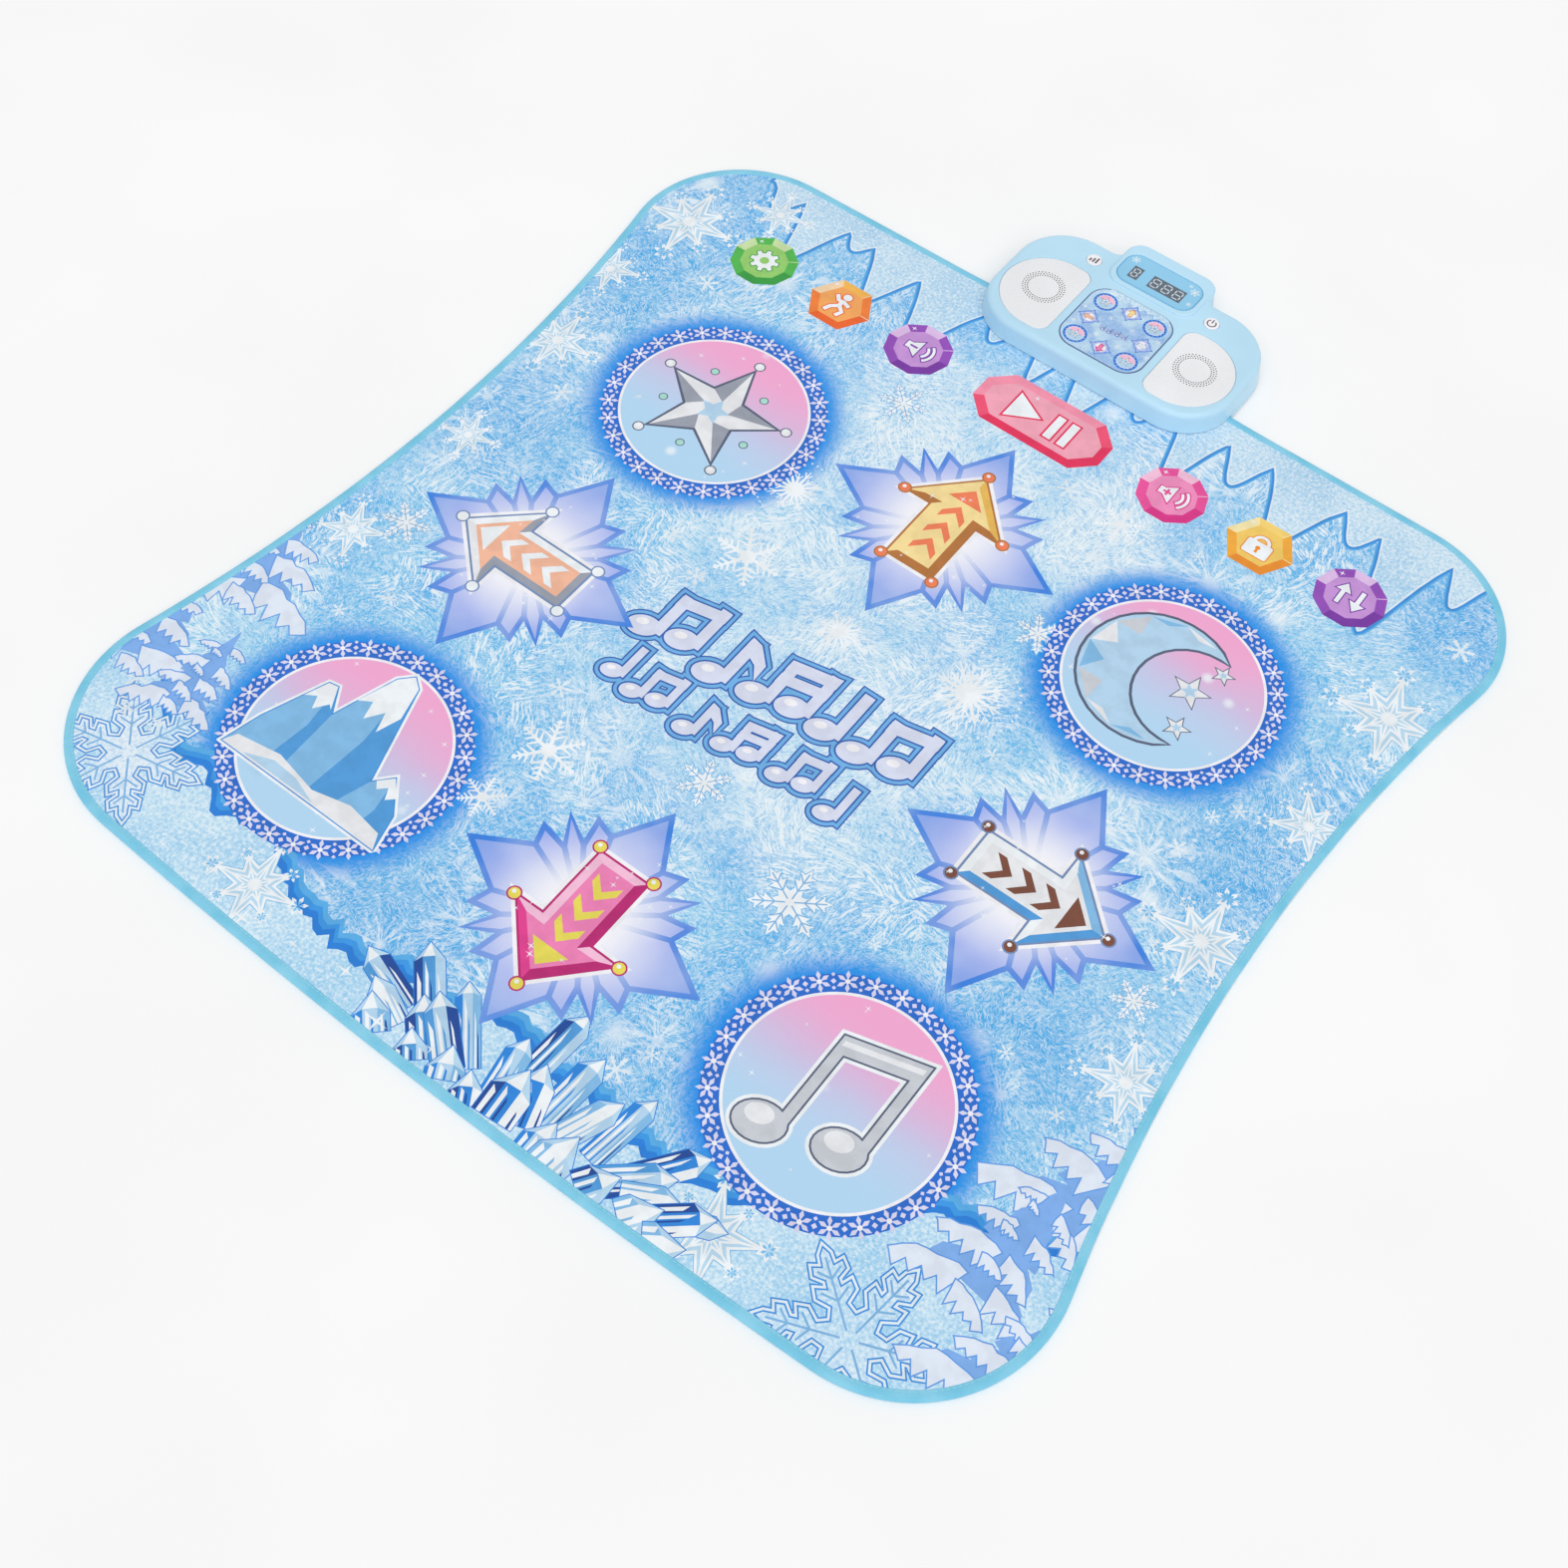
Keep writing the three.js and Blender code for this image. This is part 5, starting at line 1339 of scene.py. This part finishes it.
def key_print(one):
    """A cut gem: bright and dark facets round a lighter table with a white, dark-edged sign."""
    inner = gem_outline(one.x, one.corners, key.table) if one.corners else start_outline(key.start_rim)
    shapes = facets(key_outline(one), inner, one.hue) + [(inner, f"{one.hue}_table")]
    glint = (one.x - 0.55 * key.radius, rows.keys + 0.6 * key.radius)
    shapes.append((star_points(*glint, 3.2, 4, 0.25), "snow"))
    sign = [(put(part, one.x, rows.keys), ink) for part, ink in ICONS[one.name]]
    edge = 1.1 if one.corners else 1.9
    return shapes + [(grown(part, edge), f"{one.hue}_dark") for part, ink in sign if ink == "snow"] + sign


# The mat

def free_rim(x, y):
    """One along the free rim, and zero where the sound box grips it."""
    far_part, under_box, fade = 300, 6, 40
    return 1.0 if y < far_part else min(1.0, max(0.0, (abs(x) - box.half + under_box) / fade))


def calm(x, y):
    """How much of the ripple is left: little over a pad or at the rim, none beside the sound box."""
    left = min(1.0, max(0.0, (box.front - 4 - y) / 50))
    for pad in PADS:
        away = math.dist((x, y), (pad.x, pad.y)) / disc.radius
        if away < 1.25:
            left *= 0.3 + 0.7 * max(0.0, (away - 0.8) / 0.45)
    return left * (0.4 + 0.6 * min(1, rim_tree.find((x, y, 0))[2] / 40))


def cover_height(x, y):
    """The cloth's level with its ripple, drawn down towards the sewn rim."""
    away = rim_tree.find((x, y, 0))[2]
    drawn = 1.7 * max(0.0, 1 - away / 36) ** 1.6 * free_rim(x, y)
    return layer.top + ripple(x, y) * calm(x, y) - drawn


# Grid that lets the cloth bend, and how far and high its patches bulge in their middles
grid = Sizes(cover=10, patch=6.5)
bulge = Sizes(pad=0.9, key=0.7, star_reach=70, disc_reach=98, key_reach=27)


def flat_area(points):
    return abs(signed_area(points)) * MM * MM


def make_cover():
    """The printed cloth between the pads, and its flat area."""
    pads = [pad_outline(pad) for pad in PADS] + [key_outline(one) for one in KEYS]
    motifs = fringe() + drift() + snow_stars() + crystals() + staff()
    for one in FIRS:
        motifs += fir(*one)
    motifs += [sparkle(-290 + 46 * k, -446 + 9 * math.sin(2.1 * k), 5 + 2.5 * (k % 3)) for k in range(7)]
    for pad in PADS:
        if not pad.star:
            motifs += ring_flowers(pad)
    shape = Shape()
    shape.flat(EDGE, "frost", cover_height, pads, motifs, grid.cover)
    cover = shape.make("printed_cover", "root", "printed_cloth", ["cover_sheet"])
    return cover, flat_area(EDGE) - sum(flat_area(outline) for outline in pads)


def crowned(x0, y0, reach, rise):
    """Cloth height over a pad: level at the pad's edge and a little proud in its middle."""
    def height(x, y):
        t = min(math.dist((x, y), (x0, y0)) / reach, 1)
        return cover_height(x, y) + rise * (1 - t * t) ** 2
    return height


def make_patch(name, outline, ground, motifs, middle, reach, rise, body, slot, node):
    """A printed patch of cloth, level with the mat at its rim and a little proud in its middle."""
    shape = Shape()
    height = crowned(*middle, reach, rise)
    shape.flat(outline, ground, height, (), motifs, grid.patch)
    piece = shape.make(name, None, slot, [node])
    rim = max(cover_height(x, y) for x, y in outline)
    crown = max(height(*middle), rim + rise / 2)
    place(*middle, rim)
    place(*middle, crown)
    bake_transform(piece)
    flat = [(max(line) - min(line)) * MM for line in zip(*outline)]
    flat_area(outline)


def make_pads():
    for pad in PADS:
        if pad.star:
            look = ("burst_rim", star_pad(pad), (pad.x, pad.y), bulge.star_reach, bulge.pad)
        else:
            look = ("ring_blue", round_pad(pad), (pad.x, pad.y), bulge.disc_reach, bulge.pad)
        slot = "star_pad_cloth" if pad.star else "round_pad_cloth"
        make_patch(f"pad_cloth_{pad.name}", pad_outline(pad), *look, f"{pad.name}_pad", slot,
                   f"pad_{pad.name}")
    for one in KEYS:
        look = (one.hue, key_print(one), (one.x, rows.keys), bulge.key_reach, bulge.key)
        make_patch(f"key_cloth_{one.name}", key_outline(one), *look, f"{one.name}_key", f"{one.hue}_cloth",
                   f"key_{one.name}")


# The folded tape's section, as its distance from the rim and its height
TAPE_PROFILE = [(8, 0), (4, 0), (2, 0.06), (0.9, 0.28), (0.45, 0.75), (0.1, 1.6), (0, 2.6), (0.1, 3.6),
                (0.55, 4.4), (1.5, 4.92), (3.2, 5.2), (5.2, 5.34), (6.1, 5.26), (6.6, 5.1), (7.1, 5.26),
                (7.7, 5.24), (8, 4.9)]


def tape_level(x, y, z):
    """A height on the tape's profile, lifted to full thickness where the sound box grips it."""
    full = z * (1 + tape.lift * (1 - free_rim(x, y)))
    return full + 0.4 * min(z / 5, 1) * ripple(x, y)


def make_tape():
    """Edge tape folded round the rim, a little puffed, with a row of stitches."""
    rings = [[(x, y, tape_level(x, y, z)) for x, y in mat_outline(inset)] for inset, z in TAPE_PROFILE]
    shape = Shape()
    shape.loft([*rings, rings[0]], "tape")
    return shape.make("sewn_edge_tape", "root", "edge_tape", ["edge_binding"], 60), make_stitches()


def make_stitches():
    shape = Shape()
    travelled, next_at = 0.0, 0.0
    for (ax, ay), (bx, by) in sides(mat_outline(tape.seam)):
        length = math.dist((ax, ay), (bx, by))
        while next_at < travelled + length:
            t = (next_at - travelled) / length
            add_stitch(shape, ax + (bx - ax) * t, ay + (by - ay) * t, math.atan2(by - ay, bx - ax))
            next_at += tape.stitch_pitch
        travelled += length
    return shape.make("edge_stitches", "root", "edge_tape", (), 80)


def add_stitch(shape, x, y, heading):
    """One stitch: a short raised strand whose ends dip into the tape."""
    z = tape_level(x, y, tape.stitch_level)
    points = []
    for along, wide, high in ((-0.5, 0.45, -0.2), (-0.25, 1.0, 0.75), (0.25, 1.0, 0.75), (0.5, 0.45, -0.2)):
        for side in (-1, 0, 1):
            plan = [(tape.stitch * along, side * tape.stitch_half * wide)]
            lift = (-0.12 if side else high) * tape.stitch_rise
            points.append((*put(plan, x, y, math.degrees(heading))[0], z + lift))
    faces = [[3 * i + j, 3 * i + 3 + j, 3 * i + 4 + j, 3 * i + 1 + j] for i in range(3) for j in range(2)]
    shape.add(points, faces, "thread")


def make_base():
    """Dotted non-slip cloth under the mat, up to the tape."""
    shape = Shape()
    outline = mat_outline(tape.width + 0.3, 14, 14, 30)
    shape.flat(outline, "grip", 0.0, up=False)
    shape.flat(outline, "grip", layer.grip)
    shape.loft([ring(outline, 0.0), ring(outline, layer.grip)], "grip")
    shape.make("dotted_base", "root", "grip_fabric", ["grip_base"])


# The sound box

def drawn_in(z):
    return box.draft * (z - box.foot) / box.height


def rounding(outline, top, radius, inset=0.0, steps=8, drop=None):
    """Rings that turn an upright wall over into a flat top; outline takes how far in a ring is."""
    rings = []
    drop = drop or radius
    for i in range(steps + 1):
        angle = QUARTER * i / steps
        inward = inset + radius * (1 - math.cos(angle))
        rings.append(ring(outline(inward), top - drop + drop * math.sin(angle)))
    return rings


def closed_mesh(rings, name="cutter"):
    """A closed solid through rings of equal counts, as a bare object for cutting and joining."""
    count = len(rings[0])
    lid = (len(rings) - 1) * count
    faces = walls(rings) + [list(range(count))[::-1], list(range(lid, lid + count))]
    mesh = bpy.data.meshes.new(name)
    mesh.from_pydata([place(*p) for one in rings for p in one], [], faces)
    return linked(name, mesh)


def prism(outline, low, high):
    return closed_mesh([ring(outline, low), ring(outline, high)])


def recess(outline, foot, top, lip=0.5):
    """A cutter with a rounded mouth; outline takes how far out a ring is."""
    mouth = rounding(outline, top, lip, steps=5)
    return closed_mesh([ring(outline(0), foot), *mouth, ring(outline(lip), top + PAST)])


def combine(target, tool, operation="DIFFERENCE"):
    """Joins or cuts target with tool, and drops the tool."""
    modifier = target.modifiers.new("cut", "BOOLEAN")
    modifier.operation, modifier.solver, modifier.object = operation, "EXACT", tool
    graph = bpy.context.evaluated_depsgraph_get()
    mesh = bpy.data.meshes.new_from_object(target.evaluated_get(graph))
    target.modifiers.clear()
    target.data = mesh
    bpy.data.objects.remove(tool)


def make_shell():
    """Upper housing with its display frame, recesses, bores and hollow inside."""
    seam, under = box.seam, box.ceiling - 2
    outer = [ring(box_outline(drawn_in(seam) + STEP), seam),
             ring(box_outline(drawn_in(seam + STEP)), seam + STEP),
             *rounding(box_outline, box.top, box.edge, drawn_in(box.top - box.edge))]
    shell = closed_mesh(outer, "sound_box_shell")
    flare = [ring(pod_outline(-pod.flare * (1 - i / 4) ** 2), box.top - 0.1 + STEP * i) for i in range(5)]
    foot = ring(pod_outline(-pod.flare), box.ceiling - STEP)
    combine(shell, closed_mesh([foot, *flare, *rounding(pod_outline, pod.top, pod.edge)]), "UNION")
    cavity = [ring(box_outline(drawn_in(z) + box.wall), z) for z in (seam - 2, box.ceiling)]
    combine(shell, closed_mesh(cavity))
    combine(shell, prism(pod_outline(pod.wall), under, pod.top - pane.thickness - 0.5))
    for side in SIDES:
        cover_foot = insert.top - insert.thickness - STEP
        combine(shell, recess(lambda m: cover_outline(side, insert.gap + m), cover_foot, box.top))
        combine(shell, prism(circle(side * sound.x, sound.y, sound.throat, 48), under, box.top))
        bore = button.radius + insert.gap
        press = recess(lambda m: circle(side * button.x, button.y, bore + m, 40), under, box.top, 0.4)
        combine(shell, press)
    panel_foot, pane_foot = box.top - panel.thickness - STEP, pod.top - pane.thickness - STEP
    combine(shell, recess(lambda m: panel_outline(insert.gap + m), panel_foot, box.top))
    combine(shell, recess(lambda m: pane_outline(insert.gap + m), pane_foot, pod.top))
    combine(shell, prism(pane_outline(insert.gap - pane.ledge), under, pod.top))
    mesh = shell.data
    bpy.data.objects.remove(shell)
    mesh.materials.clear()
    mesh.materials.append(paint_for("shell"))
    finish_piece("sound_box_shell", mesh, "root", "shell_plastic", ["upper_shell"], 32)


def make_plate(name, node, slot, outline, ground, top, thickness, motifs, edge, holes=()):
    """A plate with a softly rounded rim, holes through it and a print on its face; the holes' walls are dark
    grey, painted shade inside the holes.
    """
    shape = Shape()
    foot = top - thickness
    shape.flat(outline(-edge), ground, top, holes, motifs)
    rim = rounding(lambda inward: outline(-inward), top, edge, steps=4)
    shape.loft([ring(outline(0), foot), *rim], ground)
    shape.flat(outline(0), ground, foot, holes, (), up=False)
    for hole in holes:
        # The holes' walls take a dark grey: painted shade inside the holes.
        shape.loft([ring(hole, top), ring(hole, foot)], "hole_shade")
    shape.make(name, "root", slot, [node], 35)


def make_speaker_covers():
    for side, name in ((-1, "left"), (1, "right")):
        holes = []
        for k, radius in enumerate(sound.rings):
            for i in range(sound.holes):
                angle = 360 * (i + 0.5 * (k % 2)) / sound.holes
                holes.append(circle(*spot(side * sound.x, sound.y, angle, radius), sound.hole, 8))
        make_plate(f"grille_plate_{name}", f"speaker_cover_{name}", "white_plastic",
                   lambda m: cover_outline(side, m), "white_plastic", insert.top, insert.thickness, (),
                   0.9, holes)


def mini_star(x, y, angle, inks):
    """A star pad drawn small, with its arrow."""
    return [(burst_outline(x, y, panel.scale), "burst_mini_rim"),
            (burst_outline(x, y, panel.scale * 0.86), "burst_mini"), (circle(x, y, 5.4, 16), "line_white"),
            (put(SMALL_ARROW, x, y, angle, 6.8), inks[1]), (put(SMALL_ARROW, x, y, angle, 5.4), inks[4])]


def mini_disc(x, y):
    """A round pad drawn small, with a star in it."""
    rings = ((112, "glow_blue"), (102, "ring_blue"), (87, "line_white"), (82, "ice_c"))
    shapes = discs(x, y, *[(radius * panel.scale, 32, ink, 0) for radius, ink in rings])
    shapes.append((arc(x, y, 82 * panel.scale, 0.2, math.pi - 0.2, 16), "pink_light"))
    shapes += [diamond(*spot(x, y, 22.5 * k, 96 * panel.scale), 0, 0.5, "bead") for k in range(16)]
    return shapes + [(star_points(x, y, 6.4), "slate"), (star_points(x, y, 5.4), "silver_light"),
                     (star_points(x, y, 2.8, turn=270), "ice_b")]


def panel_print():
    """The mat's pads drawn small, with icicles, a waving line of notes and snow stars round them."""
    row = insert.row
    motifs = [(panel_outline(-1.0), "ice_c"), (panel_outline(-1.6), "mini_frost")]
    spikes = [(-36 + 8 * k, 3.4, 6 + 5 * (k * 5 % 3), 0.2) for k in range(10)]
    line = [(x, y) for x, y in hanging_line(spikes, 0, -44, 44) if abs(x) < 38]
    icy = [(x, row + 38.5 + y * 0.4 + (x / 30) ** 2 * -1.6) for x, y in line]
    motifs.append((icy + [(30, row + 43.6), (-30, row + 43.6)], "icicle"))
    for pad in PADS:
        x, y = pad.x * panel.scale * 1.1, row - 0.5 + (pad.y + 50) * panel.scale * 1.1
        motifs += mini_star(x, y, *ARROWS[pad.name]) if pad.star else mini_disc(x, y)
    for k in range(3):
        wave = [(x, row - 2.4 - 2 * k + 1.4 * math.sin(x / 5)) for x in range(-15, 16, 2)]
        motifs += [(ribbon(wave, 1.3), "title_blue"), (ribbon(wave, 0.6), "title")]
    for x in (-11, -4, 4, 11):
        y = row - 6 + 1.4 * math.sin(x / 5)
        motifs += discs(x, y, (1.9, 12, "title_blue", 0), (1.2, 12, "title", 0))
        motifs.append((block(x + 0.9, y, x + 1.6, y + 6.4), "title_blue"))
    for x, y, r in ((-12, 10, 3.6), (12, 9, 3.2), (-12, -16, 3.4), (12, -17, 3.8), (-39, 8, 3.2),
                    (40, -12, 3.4), (-38, -14, 2.8), (39, 12, 2.8)):
        motifs += flake(x, row + y, r, 0.0, 1.5)
    return motifs


def make_panel():
    """Picture panel: a thin deep rim round a small print."""
    make_plate("picture_plate", "picture_panel", "picture_print", panel_outline, "panel_rim", insert.top,
               panel.thickness, panel_print(), 0.3)


def digit(x, y, half_x, half_y):
    """A seven-segment figure, leaning a little."""
    shapes = []
    for sx, sy, angle in ((0, 1, 0), (1, 0.5, 90), (1, -0.5, 90), (0, -1, 0), (-1, -0.5, 90), (-1, 0.5, 90),
                          (0, 0, 0)):
        end = half_y * 0.42 if angle else half_x * 0.84
        flat, half = end - 0.6, 0.62
        bar = [(-end, 0), (-flat, -half), (flat, -half), (end, 0), (flat, half), (-flat, half)]
        shapes.append((put(bar, x + sx * half_x + sy * 0.5, y + sy * half_y, angle), "digit"))
    return shapes


def make_window():
    """Glossy display window with one and three figures."""
    y = pane.digits_y
    motifs = [(pane_outline(-1.2), "window_blue"), (block(-29.5, y - 8.5, -19, y + 8.5), "digit_ground"),
              (block(-8, y - 8.5, 28, y + 8.5), "digit_ground")]
    for x, half in ((-24.4, 2.8), (-2, 3.6), (10, 3.6), (22, 3.6)):
        motifs += digit(x, y, half, 5.6)
    for x, up, r in ((-33, 563, 5.0), (33, 561, 5.6), (36, 544, 3.0), (26, 566, 2.4)):
        motifs += flake(x, up, r, 0, 2.4, "window_snow")
    make_plate("display_glass", "display_window", "display_pane", pane_outline, "window_rim", pod.top,
               pane.thickness, motifs, 0.5)


def bars_icon(x, y):
    """Three rising bars."""
    bars = []
    for k in range(3):
        left, low, high = x + 3.2 * k - 4.3, y - 3.8, y + 0.3 + 1.9 * k
        bars.append(([(left, low), (left + 1.9, low), (left + 2.1, high), (left + 0.2, high)], "icon"))
    return bars


def power_icon(x, y):
    bow = arc(x, y - 0.4, 4.2, math.radians(125), math.radians(415), 20)
    return [(ribbon(bow, 1.3), "icon"), (block(x - 0.65, y - 0.2, x + 0.65, y + 5.0), "icon")]


def make_buttons():
    """Two round caps, each over a wider flange and a stem."""
    for side, name, icon in ((-1, "volume", bars_icon), (1, "power", power_icon)):
        def outline(inward):
            return circle(side * button.x, button.y, button.radius - inward, 40)

        shape = Shape()
        shape.flat(outline(0.8), "button_white", button.top, (), icon(side * button.x, button.y))
        flange = ((button.stem, button.stem_foot), (button.stem, button.flange_foot),
                  (button.flange, button.flange_foot), (button.flange, button.flange_top),
                  (button.radius, button.flange_top))
        rings = [ring(outline(button.radius - radius), z) for radius, z in flange]
        shape.loft([*rings, *rounding(outline, button.top, 0.8, steps=5, drop=0.5)], "button_white")
        shape.flat(outline(button.radius - button.stem), "button_white", button.stem_foot, up=False)
        shape.make(f"{name}_button_cap", f"{name}_press", "button_plastic", [f"{name}_button"], 35)


# What the other CAD pieces are made of, by how their names start
NODE_PAINTS = {
    "base_foam": "foam", "spacer_foam": "foam", "lower_film": "film", "upper_film": "film",
    "film_tail": "film", "contact_": "carbon", "lower_shell": "shell", "battery_door": "shell",
    "clamp_bar": "shell",
    "display_module": "digit_ground", "control_board": "board", "main_board": "board",
    "speaker_frame": "basket", "speaker_cone": "cone", "tail_socket": "white_plastic",
    "battery_plate": "metal", "battery_": "wrap", "screw_": "metal", "foot_": "rubber",
}


def dress_nodes():
    for name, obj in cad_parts.items():
        paint = next((paint for start, paint in NODE_PAINTS.items() if name.startswith(start)), None)
        if paint:
            obj.data.materials.clear()
            obj.data.materials.append(paint_for(paint))


# The studio

def make_floor():
    """A plain pale floor that keeps the shadow."""
    reach, level = 4.0, -0.0004
    mesh = bpy.data.meshes.new("floor")
    mesh.from_pydata(ring(block(-reach, -reach, reach, reach), level), [], [[0, 1, 2, 3]])
    linked("floor", mesh)
    paint = Paint("floor_white", 0.95)
    paint.set({"Specular IOR Level": 0.0, "Emission Color": (1, 1, 1, 1),
               "Emission Strength": paint.times(paint.seen(), 0.05)})
    mesh.materials.append(paint.colour(paint.mottle(3.0, 2.0, tone(248, 248, 248), tone(251, 251, 251))))


def light_up(in_shade=0.6, in_view=0.956):
    """Even white surroundings and one broad soft light from the camera's side."""
    bpy.context.scene.view_settings.view_transform = "Standard"
    world = bpy.data.worlds.new("studio")
    world.use_nodes = True
    sky = Nodes(world.node_tree)
    levels = {"Value": sky.seen(), "To Min": in_shade, "To Max": in_view}
    strength = sky.node("MapRange", levels).outputs["Result"]
    sky.feed(world.node_tree.nodes["Background"], {"Strength": strength, "Color": (1, 1, 1, 1)})
    bpy.context.scene.world = world
    lamp = bpy.data.lights.new("soft_light", "SUN")
    lamp.energy, lamp.angle = 1.25, math.radians(70)
    sun = linked("soft_light", lamp)
    sun.rotation_euler = Vector((-0.35, 0.5, -1.0)).to_track_quat("-Z", "Y").to_euler()


def make_camera():
    """The photograph's camera, from its place and the directions of its axes."""
    camera = bpy.data.cameras.new("camera")
    camera.lens, camera.sensor_width = 44.70, 36
    right = Vector((0.79747, 0.60130, 0.04986))
    down = Vector((0.53308, -0.66346, -0.52502))
    ahead = Vector((-0.28261, 0.44527, -0.84963))
    turn = Matrix((right, -down, -ahead)).transposed()
    stand = place(489.0, -794.6, 1324.9)
    obj = linked("camera", camera)
    obj.matrix_world = Matrix.Translation(stand) @ turn.to_4x4()
    bpy.context.scene.camera = obj


make_floor()
light_up()
make_camera()
cover, cover_area = make_cover()
make_pads()
binding, stitches = make_tape()
make_base()
make_shell()
make_speaker_covers()
make_panel()
make_window()
make_buttons()
dress_nodes()
